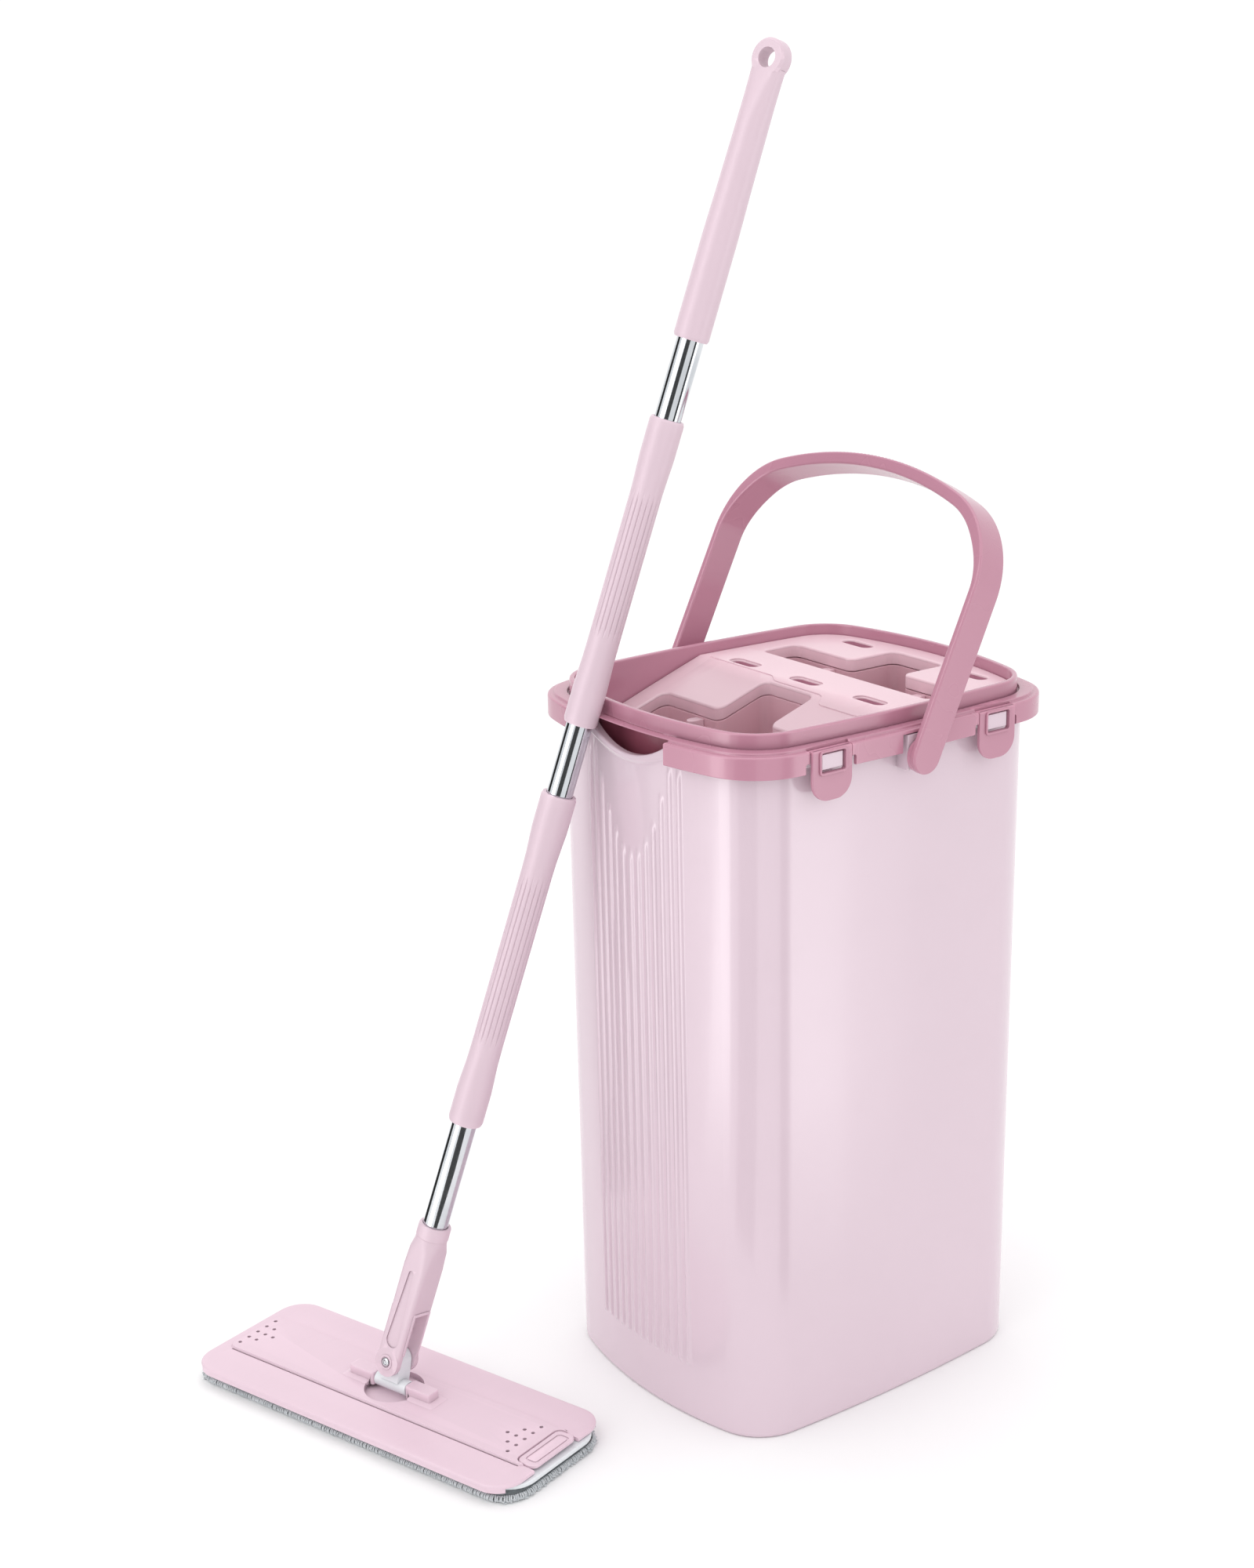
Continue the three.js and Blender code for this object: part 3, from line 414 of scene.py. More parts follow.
def moved(part, matrix):
    verts, faces = part
    m = np.array(matrix)
    return np.asarray(verts) @ m[:3, :3].T + m[:3, 3], faces


def new_object(name, data):
    obj = bpy.data.objects.new(name, data)
    bpy.context.scene.collection.objects.link(obj)
    return obj


def to_object(name, part):
    """A mesh object in metres, with its faces turned outwards."""
    verts, faces = part
    mesh = bpy.data.meshes.new(name)
    mesh.from_pydata((np.asarray(verts) * MM).tolist(), [], faces)
    bm = bmesh.new()
    bm.from_mesh(mesh)
    bmesh.ops.remove_doubles(bm, verts=bm.verts, dist=1e-6)
    bmesh.ops.recalc_face_normals(bm, faces=bm.faces)
    bm.to_mesh(mesh)
    bm.free()
    return new_object(name, mesh)


def settle(obj):
    """Turns the object's modifiers into its mesh."""
    bpy.context.view_layer.update()
    done = bpy.data.meshes.new_from_object(obj.evaluated_get(bpy.context.evaluated_depsgraph_get()))
    obj.modifiers.clear()
    obj.data = done


def combine(obj, tool, operation):
    """Applies a boolean with another object, which is used up."""
    step = obj.modifiers.new("step", "BOOLEAN")
    step.operation, step.solver, step.object, step.use_self = operation, "EXACT", tool, True
    settle(obj)
    bpy.data.objects.remove(tool)


def carve(obj, *parts):
    combine(obj, to_object("tool", join_parts(parts)), "DIFFERENCE")


def unite(obj, *parts):
    combine(obj, to_object("tool", join_parts(parts)), "UNION")


def soften(obj, width, segments=2, angle=38):
    """Rounds the edges that turn sharply."""
    weld = obj.modifiers.new("weld", "WELD")
    weld.merge_threshold = 2e-5
    bevel = obj.modifiers.new("bevel", "BEVEL")
    bevel.width, bevel.segments, bevel.limit_method = width * MM, segments, "ANGLE"
    bevel.angle_limit = radians(angle)
    settle(obj)


def dress(obj, material, body, slot, *nodes, sharp=34):
    """Shades the piece, parents it to its CAD body and hides the CAD nodes it stands for."""
    obj.data.materials.clear()
    obj.data.materials.append(material)
    for poly in obj.data.polygons:
        poly.use_smooth = True
    obj.data.set_sharp_from_angle(angle=radians(sharp))
    weighted = obj.modifiers.new("weighted", "WEIGHTED_NORMAL")
    weighted.keep_sharp = True
    settle(obj)
    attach(obj, body)
    if nodes:
        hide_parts(*nodes)


def recolour(obj, material, inside):
    """Gives a second material to the faces whose centres, in mm, are inside."""
    obj.data.materials.append(material)
    for poly in obj.data.polygons:
        if inside(*(poly.center / MM)):
            poly.material_index = 1


def plate_from(outlines, thick, edge, resolution=2):
    """A flat plate in mm with rounded edges: the first outline is its rim and the others its holes."""
    curve = bpy.data.curves.new("outline", "CURVE")
    curve.dimensions, curve.fill_mode = "2D", "BOTH"
    curve.extrude, curve.bevel_depth = thick / 2 - edge, edge
    curve.bevel_resolution, curve.offset = resolution, -edge
    for i, points in enumerate(outlines):
        path = points if i == 0 else points[::-1]
        spline = curve.splines.new("POLY")
        spline.points.add(len(path) - 1)
        rows = np.column_stack([path, np.zeros(len(path)), np.ones(len(path))])
        spline.points.foreach_set("co", rows.ravel())
        spline.use_cyclic_u = True
    holder = new_object("outline", curve)
    bpy.context.view_layer.update()
    mesh = bpy.data.meshes.new_from_object(holder)
    verts = np.array([v.co for v in mesh.vertices], float).reshape(-1, 3)
    verts[:, 2] += thick / 2
    faces = [tuple(p.vertices) for p in mesh.polygons]
    bpy.data.objects.remove(holder)
    return verts, faces


# ---- bucket ----
def spout_drop(points):
    """How far the top edge falls at each point of an outline, for the pouring dip."""
    y = points[:, 1]
    inside = (np.abs(y) < DIP_HALF) & (points[:, 0] < 0)
    return np.where(inside, (SHELL_TOP - SPOUT_DIP) * (1 - (y / DIP_HALF) ** 2), 0.0)


def wall_ring(inset, z):
    """The tank's outline at a height, drafted towards the base and dipping at the spout."""
    points = footprint(MOUTH, inset, TANK_STEPS)
    fall = 1 - z / SHELL_TOP
    points = points * [1 - fall * (1 - BASE[0] / MOUTH[0]), 1 - fall * (1 - BASE[1] / MOUTH[1])]
    share = smooth((z - DIP_FROM) / (SHELL_TOP - FLANGE_DEPTH - DIP_FROM))
    return np.column_stack([points, z - spout_drop(points) * share])


def with_ribs(ring):
    """Raises the ribs on a ring of the tank's outer wall."""
    y, z = ring[:, 1], ring[:, 2]
    nearest = np.clip(np.round(y / RIB_PITCH), -(RIBS // 2), RIBS // 2) * RIB_PITCH
    away = np.abs(y - nearest)
    top = np.minimum(TONGUE_BOTTOM + TONGUE_FLARE * (nearest / SPOUT_HALF) ** 2, SHELL_TOP - 2 * FLANGE_DEPTH)
    height = np.sqrt(np.maximum(RIB_R**2 - away**2, 0)) - RIB_SUNK
    fade = smooth((top - z) / RIB_FADE) * smooth((z - RIB_BOTTOM) / RIB_FADE)
    out = ring.copy()
    out[:, 0] -= np.where(ring[:, 0] < 0, np.maximum(height, 0) * fade, 0)
    return out


def bucket_shell():
    foot = [wall_ring(16, 2.0), wall_ring(9, 2.0), wall_ring(7, 0), wall_ring(0, 0)]
    heights = [12, 24, 33, 36, 37, 38, 39, 40.5, 42, *range(60, 360, 22), *np.arange(362, 431, 3.2)]
    wall = [with_ribs(wall_ring(0, z)) for z in heights]
    top = SHELL_TOP
    lip = [wall_ring(0, top - FLANGE_DEPTH - 1.2), wall_ring(-FLANGE_OUT, top - FLANGE_DEPTH + 1)]
    lip += [wall_ring(-FLANGE_OUT, top), wall_ring(SHELL_WALL, top)]
    slim = spout_drop(lip[1]) / (SHELL_TOP - SPOUT_DIP)
    for ring, inward, raised in zip(lip, (0, 1.8, 1.8), (4, 4, 0)):
        ring[:, 0] += inward * slim
        ring[:, 2] += raised * slim
    inner = [wall_ring(SHELL_WALL, z) for z in (top - 8, 420, 400, 380, 200, FLOOR)]
    rings = [*foot, *wall, *lip, *inner]
    radii = [0, 1, 1, 3.2] + [0] * len(wall) + [1.5, 1.6, 1.6, 1.0] + [0] * len(inner)
    parts = [loft(fillet(rings, radii, 4))]
    for side in (-1, 1):
        for x in (-TAB_X, TAB_X):
            low, half = LEDGE_TOP - WINDOW_DROP - WINDOW_H + 1.7, WINDOW_W / 2 - 1
            lo, hi = span(side, wall_y(MOUTH, TAB_X) - 1, wall_y(SKIRT, TAB_X) + 0.9)
            parts.append(brick((x - half, lo, low), (x + half, hi, SHELL_TOP), 0.7))
        face = BAIL_HALF - BAIL_FOOT - 0.4
        lo, hi = span(side, wall_y(MOUTH, 0) - 1, face)
        parts.append(brick((-8.5, lo, BAIL_AXIS_Z - 8.5), (8.5, hi, SHELL_TOP), 0.8))
        parts.append(cylinder("y", 4, *span(side, face - 1, BAIL_HALF - 3), 0, BAIL_AXIS_Z, 28, 0.5))
    obj = to_object("bucket_tank", join_parts(parts))
    dress(obj, PALE, "bucket", "bucket_plastic", "bucket_shell", sharp=40)


def wall_y(size, x):
    """How far a footprint's long side stands from the middle at x."""
    r = bow_radius(size[0], size[2])
    return size[1] / 2 - r + sqrt(r * r - x * x)


def splash_frame():
    def at(size, inset, z):
        return flat_ring(footprint(size, inset, FRAME_STEPS), z)

    def scoop(inset, z):
        """The wall's ring: under the rim at the spout it swells inwards behind the pouring dip."""
        ring = at(MOUTH, inset, z)
        swell = SCOOP_DEEP * smooth((SPOUT_HALF + 4 - np.abs(ring[:, 1])) / 22) * smooth((449 - z) / 9)
        ring[:, 0] += np.where(ring[:, 0] < 0, swell, 0)
        return ring

    edge = FRAME_INSET + FRAME_WALL
    step = LEDGE_TOP + 1.5
    wall = (446, 443, 440, WALL_BOTTOM)
    rings = [
        at(SKIRT, 0, SKIRT_BOTTOM),
        at(SKIRT, 0, LEDGE_TOP),
        at(SKIRT, 3.6, LEDGE_TOP),
        at(SKIRT, 4.2, step),
        at(RIM, -1.6, step),
        at(RIM, -1.3, LEDGE_TOP - 0.6),
        at(RIM, -0.2, LEDGE_TOP - 0.6),
        at(RIM, 0, RIM_TOP),
        at(MOUTH, edge, RIM_TOP),
        *[scoop(edge, z) for z in wall],
        *[scoop(FRAME_INSET, z) for z in (*wall[:1:-1], SHELL_TOP + 0.3)],
        at(SKIRT, FRAME_WALL, SHELL_TOP + 0.3),
        at(SKIRT, FRAME_WALL, SKIRT_BOTTOM),
    ]
    radii = [0.8, 1.5, 0.4, 0.5, 0.5, 0.3, 0.3, 1.3, 1.2, 0, 0, 0, 0.6, 0.6, 0, 0.2, 0.2, 0.6]
    obj = to_object("frame_ring", loft(fillet(rings, radii, 3, True), closed=True))
    cuts = [brick((-CUT_FAR, -SPOUT_HALF, CUT_LOW), (-RIM[0] / 2 + 1.4, SPOUT_HALF, LEDGE_TOP + 1))]
    for side in (-1, 1):
        for x in (-TAB_X, TAB_X):
            lo, hi = span(side, wall_y(SKIRT, TAB_X) - TAB_SUNK - 3.6, CUT_FAR)
            half = TAB_W / 2 + 0.4
            cuts.append(brick((x - half, lo, CUT_LOW), (x + half, hi, LEDGE_TOP + 5)))
            for end in (-1, 1):
                middle = x + end * (half + RELIEF_W / 2 - 0.3)
                left, right = middle - RELIEF_W / 2, middle + RELIEF_W / 2
                notch = rounded_rect(left, right, CUT_LOW, RELIEF_TOP, RELIEF_W * 0.45, 6)
                cuts.append(moved(prism(notch, *span(side, wall_y(SKIRT, TAB_X) - 6, CUT_FAR)), ALONG_Y))
        lo, hi = span(side, wall_y(RIM, 0) + 3.5, CUT_FAR)
        cuts.append(brick((-12, lo, CUT_LOW), (12, hi, LEDGE_TOP - 2)))
    for cut in cuts:
        carve(obj, cut)
    soften(obj, 0.35)
    dress(obj, ROSE, "bucket", "frame_plastic", "splash_frame")

    # Painted shade: faces of the wall behind the pouring dip take the darker rose.
    def behind_dip(x, y, z):
        return -RIM[0] / 2 + 1 < x < -100 and abs(y) < SPOUT_HALF + 3 and z < LEDGE_TOP + 1

    recolour(obj, SHADE, behind_dip)


def clip_tab(name, x, side):
    """A U-shaped clip tab with a raised border round its window."""
    half, drop, r = TAB_W / 2, LEDGE_TOP - TAB_BOTTOM, TAB_W * 0.4
    outline = np.concatenate([
        arc(-half + r, -drop + r, r, pi, 1.5 * pi, 12, True),
        arc(half - r, -drop + r, r, 1.5 * pi, 2 * pi, 12, True),
        arc(half - 1, -1, 1, 0, pi / 2, 4, True),
        arc(-half + 1, -1, 1, pi / 2, pi, 4, True),
    ])
    w, sill = WINDOW_W / 2, -WINDOW_DROP - WINDOW_H
    window = rounded_rect(-w, w, sill, -WINDOW_DROP, 1.2, 4)
    border = rounded_rect(-w - 1.3, w + 1.3, sill - 1.5, -WINDOW_DROP + 1.2, 2.2, 4)
    stand = Matrix.Translation((0, TAB_THICK - 0.5, 0)) @ Matrix.Rotation(pi / 2, 4, "X")
    plate = moved(plate_from([outline, window], TAB_THICK - 0.5, 0.5), stand)
    proud = Matrix.Translation((0, TAB_THICK + 0.7, 0)) @ Matrix.Rotation(pi / 2, 4, "X")
    ridge = moved(plate_from([border, window], 1.4, 0.35), proud)
    root = brick((-half, -2.4, -1.8), (half, 1.2, 0), 0.4)
    turn = Matrix.Rotation(0 if side > 0 else pi, 4, "Z")
    spot = Matrix.Translation((x, side * (wall_y(SKIRT, TAB_X) - TAB_SUNK), LEDGE_TOP)) @ turn
    parts = [moved(p, spot) for p in (plate, ridge, root)]
    body = name.replace("clip_", "")
    dress(to_object(name + "_moulding", join_parts(parts)), ROSE, body, "frame_plastic", name)


def surface(x):
    """Height of the insert plate's top face."""
    return PLATE_TOP - np.maximum(0, CREASE_X - x) * SLOPE


def on_surface(outline, drop):
    return np.column_stack([outline, surface(outline[:, 0]) - drop])


def bend_to_surface(part):
    """Bends a flat plate to follow the insert's level and sloping halves."""
    obj = to_object("flat", part)
    bm = bmesh.new()
    bm.from_mesh(obj.data)
    geometry = bm.verts[:] + bm.edges[:] + bm.faces[:]
    bmesh.ops.bisect_plane(bm, geom=geometry, plane_co=(CREASE_X * MM, 0, 0), plane_no=(1, 0, 0), dist=1e-7)
    verts = np.array([v.co for v in bm.verts]) / MM
    bm.verts.index_update()
    faces = [tuple(v.index for v in f.verts) for f in bm.faces]
    bm.free()
    bpy.data.objects.remove(obj)
    verts[:, 2] += surface(verts[:, 0])
    return verts, faces


def vent_outline(x, y, grow=0.0):
    wide, long = 4.5 + grow, 12.75 + grow
    return rounded_rect(x - wide, x + wide, y - long, y + long, wide - 0.05, 6)


def raised_band():
    """The low step round the middle vents, with its curved edge towards the wash slot."""
    y = np.linspace(-BAND_HALF, BAND_HALF, 61)
    wave = 0.5 * smooth((y - 16) / 10) - smooth((-y - 27) / 10) + smooth((-y - 68) / 16)
    left = np.column_stack([BAND_X + BAND_SWING * wave, y])[::-1]
    right = np.array([(DRY_X - 3, -BAND_HALF), (DRY_X - 3, BAND_HALF)])
    outline = np.concatenate([left, right])
    holes = [vent_outline(x, y0, 0.6) for x, y0 in VENTS if x < DRY_X]
    flat = plate_from([outline, *holes], BAND_TALL, 0.4)
    return bend_to_surface(moved(flat, lift(0.02 - BAND_TALL / 2)))


def insert_plate():
    inset = FRAME_INSET + FRAME_WALL + 0.5
    rim = footprint(MOUTH, inset, PLATE_STEPS)
    keep = rim[:, 0] > PLATE_END
    first = int(np.nonzero(keep & ~np.roll(keep, 1))[0][0])
    rim = np.roll(rim, -first, axis=0)[: int(keep.sum())]
    rim = np.concatenate([rim, [[PLATE_END, rim[-1, 1]], [PLATE_END, rim[0, 1]]]])
    slots = [slot_outline(x0) for x0 in (WASH_X, DRY_X)]
    vents = [vent_outline(x, y) for x, y in VENTS]
    flat = plate_from([rim, *slots, *vents], PLATE_WALL, 1.35, 3)
    parts = [bend_to_surface(moved(flat, lift(-PLATE_WALL)))]
    for x0 in (WASH_X, DRY_X):
        lip = ((0, 1.6), (0, LIP_DEEP), (PLATE_WALL, LIP_DEEP), (PLATE_WALL, 2))
        rings = [on_surface(slot_outline(x0, g), d) for g, d in lip]
        parts.append(loft(fillet(rings, [0, 0.8, 0.8, 0]), closed=True))
    skirt = [on_surface(rim, d) for d in (1.4, PLATE_SKIRT)]
    shrink = rim * [(x - 2.5) / x for x in (rim[:, 0].max(), rim[:, 1].max())]
    skirt += [on_surface(shrink, PLATE_SKIRT), on_surface(shrink, 1.4)]
    parts.append(loft(skirt, closed=True))
    for x, y in VENTS:
        cup = [vent_outline(x, y, g) for g in (0, -0.5, 0.6, 0.9)]
        parts.append(loft([on_surface(o, d) for o, d in zip(cup, (1.5, 9, 9.6, 1.8))], closed=True))
    parts.append(raised_band())
    obj = to_object("slot_plate", join_parts(parts))
    dress(obj, PLATE, "bucket", "plate_plastic", "insert_plate", sharp=30)

    # Painted shade: the vents' inner walls below the plate's top face take the frame's darker rose.
    def in_vent(x, y, z):
        near = any(abs(x - vx) < 4.8 and abs(y - vy) < 13 for vx, vy in VENTS)
        return near and z < surface(x) - 1.2

    recolour(obj, ROSE, in_vent)


def well(name, x0):
    top, foot = LIP_DEEP + 0.5, WELL_DEEP - 0.5
    profile = ((0, top), (0, foot), (WELL_WALL, foot), (WELL_WALL, top))
    rings = [on_surface(slot_outline(x0, grow), drop) for grow, drop in profile]
    obj = to_object(name + "_guide", loft(fillet(rings, [0.8] * 4, 2, True), closed=True))
    dress(obj, WELL, "bucket", "well_plastic", name)


def scraper(name, x0, side):
    """A round-nosed post on the well's wall."""
    wall = x0 + SLOT_W - 0.3
    top = float(surface(wall)) - LIP_DEEP - 1
    foot, y = top - SCRAPER_TALL, side * SCRAPER_Y
    nose = arc(wall - SCRAPER_OUT, y, SCRAPER_R, pi / 2, 1.5 * pi, 13, True)
    outline = np.concatenate([nose, [[wall, y - SCRAPER_R], [wall, y + SCRAPER_R]]])
    middle = np.array([wall - SCRAPER_OUT / 2, y])
    small = middle + (outline - middle) * 0.75
    rings = [flat_ring(small, foot), flat_ring(outline, foot), flat_ring(outline, top), flat_ring(small, top)]
    obj = to_object(name + "_bar", loft(fillet(rings, [0, 1, 1, 0])))
    dress(obj, PLATE, "bucket", "plate_plastic", name)


def bail_path():
    """The strap's outer line in the bail's own frame, as (y, z) points with their outward normals."""
    centre = BAIL_HALF - BAIL_CORNER
    crown_r = (centre + BAIL_CORNER * cos(BAIL_TURN)) / cos(BAIL_TURN)
    crown_z = BAIL_SHOULDER + (BAIL_CORNER - crown_r) * sin(BAIL_TURN)
    round_end = -BAIL_STRAP / 2 * np.cos(np.linspace(0, pi / 2, 10))
    heights = np.concatenate([round_end, np.linspace(0, BAIL_SHOULDER, 20)[1:]])
    turns = (0 * heights, np.linspace(0, BAIL_TURN, 30)[1:], np.linspace(BAIL_TURN, pi / 2, 170)[1:])
    side, corner, crown = (np.column_stack([np.cos(t), np.sin(t)]) for t in turns)
    points = np.concatenate([
        np.column_stack([0 * heights + BAIL_HALF, heights]),
        corner * BAIL_CORNER + (centre, BAIL_SHOULDER),
        crown * crown_r + (0, crown_z),
    ])
    normals = np.concatenate([side, corner, crown])
    return [np.concatenate([rows, rows[-2::-1] * [-1, 1]]) for rows in (points, normals)]


def bail_handle():
    points, normals = bail_path()
    steps = travelled(points)
    rings = []
    half_strap = BAIL_STRAP / 2
    middle = steps[-1] / 2
    for (y, z), normal, s in zip(points, normals, steps):
        half = half_strap if z > 0 else sqrt(max(half_strap**2 - z * z, 0.4))
        thick = BAIL_THICK + BAIL_SWELL * smooth((z - BAIL_SHOULDER) / 40)
        ring = rounded_rect(-half, half, -thick, 0, min(1.5, half * 0.6), 5)
        grip = smooth((72 - abs(s - middle + 22)) / 6)
        ridge = SERRATION * grip * (0.5 * cos(2 * pi * s / 3.2) - 0.5)
        depth = ring[:, 1] + np.where(ring[:, 1] > -0.2, ridge, 0)
        rings.append(np.column_stack([ring[:, 0], y + normal[0] * depth, z + normal[1] * depth]))
    parts = [loft(rings)]
    for side in (-1, 1):
        low, high = span(side, BAIL_HALF - BAIL_FOOT, BAIL_HALF - 1.2)
        parts.append(cylinder("y", half_strap - 0.4, low, high, 0, 0, 48, 0.8))
    tilt = lift(BAIL_AXIS_Z) @ Matrix.Rotation(BAIL_TILT, 4, "Y")
    obj = to_object("bail_strap", moved(join_parts(parts), tilt))
    dress(obj, ROSE, "bail", "frame_plastic", "bail_handle", sharp=50)


# ---- mop head: x across the head, y along it, z up from the floor ----
HEAD_END, HEAD_SIDE = HEAD_LONG / 2, HEAD_WIDE / 2
AXLE = Vector(JOINTS["yoke_roll"]["pos_m"]) / MM
HEAD = Matrix.Translation((AXLE.x, AXLE.y, 0)) @ Matrix.Rotation(HEAD_YAW, 4, "Z")
YOKE = HEAD @ lift(AXLE.z) @ Matrix.Rotation(POLE_ROLL, 4, "Y")
POLE = YOKE @ lift(YOKE_RISE) @ Matrix.Rotation(POLE_PITCH, 4, "X")
DISH_R, WING_TOP, DECK_TOP, PLATE_BOTTOM, PAD_TOP = 19.0, 13.4, 14.6, 10.6, 7.0
DECK_HALF, DECK_END, LIP_BOTTOM = 22.6, HEAD_END - 7.0, 8.0
TAB_HALF, TAB_DEEP, BAR_FROM, BAR_TO, BAR_HALF, AXLE_R = 21.0, 16.0, 13.5, 34.0, 4.4, 2.1
FORK_HALF, TONGUE_HALF, FORK_WINDOW, TUBE_R, CLEARANCE = 10.0, 5.6, 35.4, 8.0, 0.3


def drain_holes():
    """Plan places of the two triangles of small holes near the head's ends."""
    rows = [(row, i) for row in range(3) for i in range(row - 2, 3 - row)]
    return [(i * 8, y) for row, i in rows for y in (row * 6.8 - 107.5, 121.5 - row * 6.8)]


def head_plate():
    wing = centred_rect(HEAD_SIDE, HEAD_END, 18, 12)
    inner = centred_rect(HEAD_SIDE - 4, HEAD_END - 4, 14, 12)
    heights = (PLATE_BOTTOM, PLATE_BOTTOM, WING_TOP - 0.4, WING_TOP)
    rings = [flat_ring(o, z) for o, z in zip((inner, wing, wing, inner), heights)]
    obj = to_object("head_cover", loft(fillet(rings, [0, 0.8, 1.2, 0])))
    lip = []
    for inset, z in ((0.2, LIP_BOTTOM), (0.2, 12), (2, 12), (2, LIP_BOTTOM)):
        lip.append(flat_ring(centred_rect(HEAD_SIDE - inset, HEAD_END - inset, 18 - inset, 12), z))
    hem = to_object("hem", loft(lip, closed=True))
    carve(hem, brick((-43, -HEAD_END - 5, 0), (43, -HEAD_END + 6, 20)))
    combine(obj, hem, "UNION")
    shapes = (
        (DECK_HALF, DECK_END, 5, WING_TOP - 1),
        (DECK_HALF, DECK_END, 5, WING_TOP + 0.05),
        (DECK_HALF - 0.6, DECK_END - 0.6, 4.6, DECK_TOP + 0.3),
        (DECK_HALF - 5, DECK_END - 9, 3, DECK_TOP + 0.3),
    )
    deck = [flat_ring(centred_rect(half, end, r, 6), z) for half, end, r, z in shapes]
    unite(obj, loft(fillet(deck, [0, 0, 0.4, 0], 2)))
    for side in (-1, 1):
        near, far = span(side, DECK_HALF + 0.05, DECK_HALF + 1.1)
        groove = rounded_rect(near, far, -DECK_END + 4, DECK_END - 4, 0.5, 4)
        carve(obj, prism(groove, WING_TOP - 0.8, 40))
    carve(obj, cylinder("z", DISH_R, PLATE_BOTTOM + 0.5, 40, steps=64))
    for side in (-1, 1):
        low, high = span(side, BAR_FROM, BAR_TO)
        half = BAR_HALF + 0.4
        unite(obj, brick((-half, low, PLATE_BOTTOM + 0.6), (half, high, AXLE.z + BAR_HALF), 1.6, 3))
        foot = ((8.2, 4.5, DECK_TOP - 1), (8.2, 4.5, DECK_TOP + 0.4), (5.2, 0.8, DECK_TOP + 1.9))
        plans = [rounded_rect(-h, h, *span(side, 17, BAR_TO + past), 2, 5) for h, past, _ in foot]
        unite(obj, loft([flat_ring(p, z) for p, (_, _, z) in zip(plans, foot)]))
    carve(obj, cylinder("z", DISH_R - 0.2, PLATE_BOTTOM + 0.5, AXLE.z - 4, steps=64))
    carve(obj, cylinder("y", AXLE_R + CLEARANCE, -BAR_TO + 1.6, BAR_TO - 1.6, 0, AXLE.z, 24))
    notch = rounded_rect(-TAB_HALF, TAB_HALF, -HEAD_END - 20, -HEAD_END + TAB_DEEP, 5, 6)
    carve(obj, prism(notch, 0, 40))
    soften(obj, 0.25, 2, 32)
    carve(obj, *[cylinder("z", 1.3, 0, 40, x, y, 16) for x, y in drain_holes()])
    place(obj, HEAD)
    dress(obj, MOP_PINK, "mop_head", "mop_plastic", "head_plate")


def place(obj, matrix):
    """Moves a mesh made in its own frame, in mm, to the row frame."""
    scaled = matrix.copy()
    scaled.translation *= MM
    obj.data.transform(scaled)


def release_tab():
    half = TAB_HALF - 0.8
    outline = rounded_rect(-half, half, -TAB_DEEP + 0.8, -0.8, 4.4, 6)
    slab = moved(plate_from([outline], 2.4, 0.6), lift(-2.4))
    groove = rounded_rect(-half + 3.6, half - 3.6, -TAB_DEEP + 2.6, -4.2, 2.6, 6)
    hole = rounded_rect(-half + 4.8, half - 4.8, -TAB_DEEP + 3.8, -5.4, 1.8, 6)
    obj = to_object("release_latch", slab)
    carve(obj, prism(groove, -0.5, 2))
    unite(obj, prism(hole, -1.2, -0.05))
    soften(obj, 0.25, 2, 40)
    place(obj, HEAD @ Matrix.Translation((0, -HEAD_END + TAB_DEEP, DECK_TOP)))
    dress(obj, MOP_PINK, "release_tab", "mop_plastic", "release_tab")


def backing_plate():
    outline = rounded_rect(-42, 42, -HEAD_END - 2.5, HEAD_END - 4, 18, 12)
    slab = moved(plate_from([outline], 3.0, 0.8), lift(PAD_TOP + 0.3))
    obj = to_object("pad_backing", slab)
    carve(obj, *[cylinder("z", 1.7, 0, 40, x, y, 12) for x, y in drain_holes()])
    place(obj, HEAD)
    dress(obj, WHITE, "mop_head", "white_plastic", "backing_plate")


def yoke_parts():
    bore = AXLE_R + CLEARANCE
    obj = to_object("yoke_link", pipe("y", bore, 4.8, -13, 13, 40, 0.8))
    unite(obj, brick((-TONGUE_HALF, -7.4, 2.5), (TONGUE_HALF, 7.4, YOKE_RISE)))
    unite(obj, cylinder("x", 7.45, -TONGUE_HALF, TONGUE_HALF, 0, YOKE_RISE, 40))
    carve(obj, cylinder("y", bore, -30, 30, 0, 0, 24))
    carve(obj, cylinder("x", bore, -30, 30, 0, YOKE_RISE, 24))
    soften(obj, 0.5, 2, 35)
    place(obj, YOKE)
    dress(obj, WHITE, "yoke", "white_plastic", "yoke")
    rod = cylinder("y", AXLE_R, -32, 32, 0, 0, 32, 0.4)
    axle = to_object("yoke_rod", moved(rod, HEAD @ lift(AXLE.z)))
    dress(axle, STEEL, "mop_head", "pin_steel", "yoke_axle")


# ---- pole: origin on the pin, z up the pole, x along the pin ----
def faced(part, side):
    """The part as made, or mirrored to the -X side."""
    verts, faces = part
    return verts * [side, 1, 1], faces


def blended_ring(a, b, roundness, z, steps=64):
    """A ring between a rounded square and a circle, a by b half size."""
    t = np.linspace(0, 2 * pi, steps, endpoint=False)
    power = 2 / (2 + 6 * (1 - roundness))
    c, s = np.cos(t), np.sin(t)
    x, y = a * np.sign(c) * np.abs(c) ** power, b * np.sign(s) * np.abs(s) ** power
    return flat_ring(np.column_stack([x, y]), z)


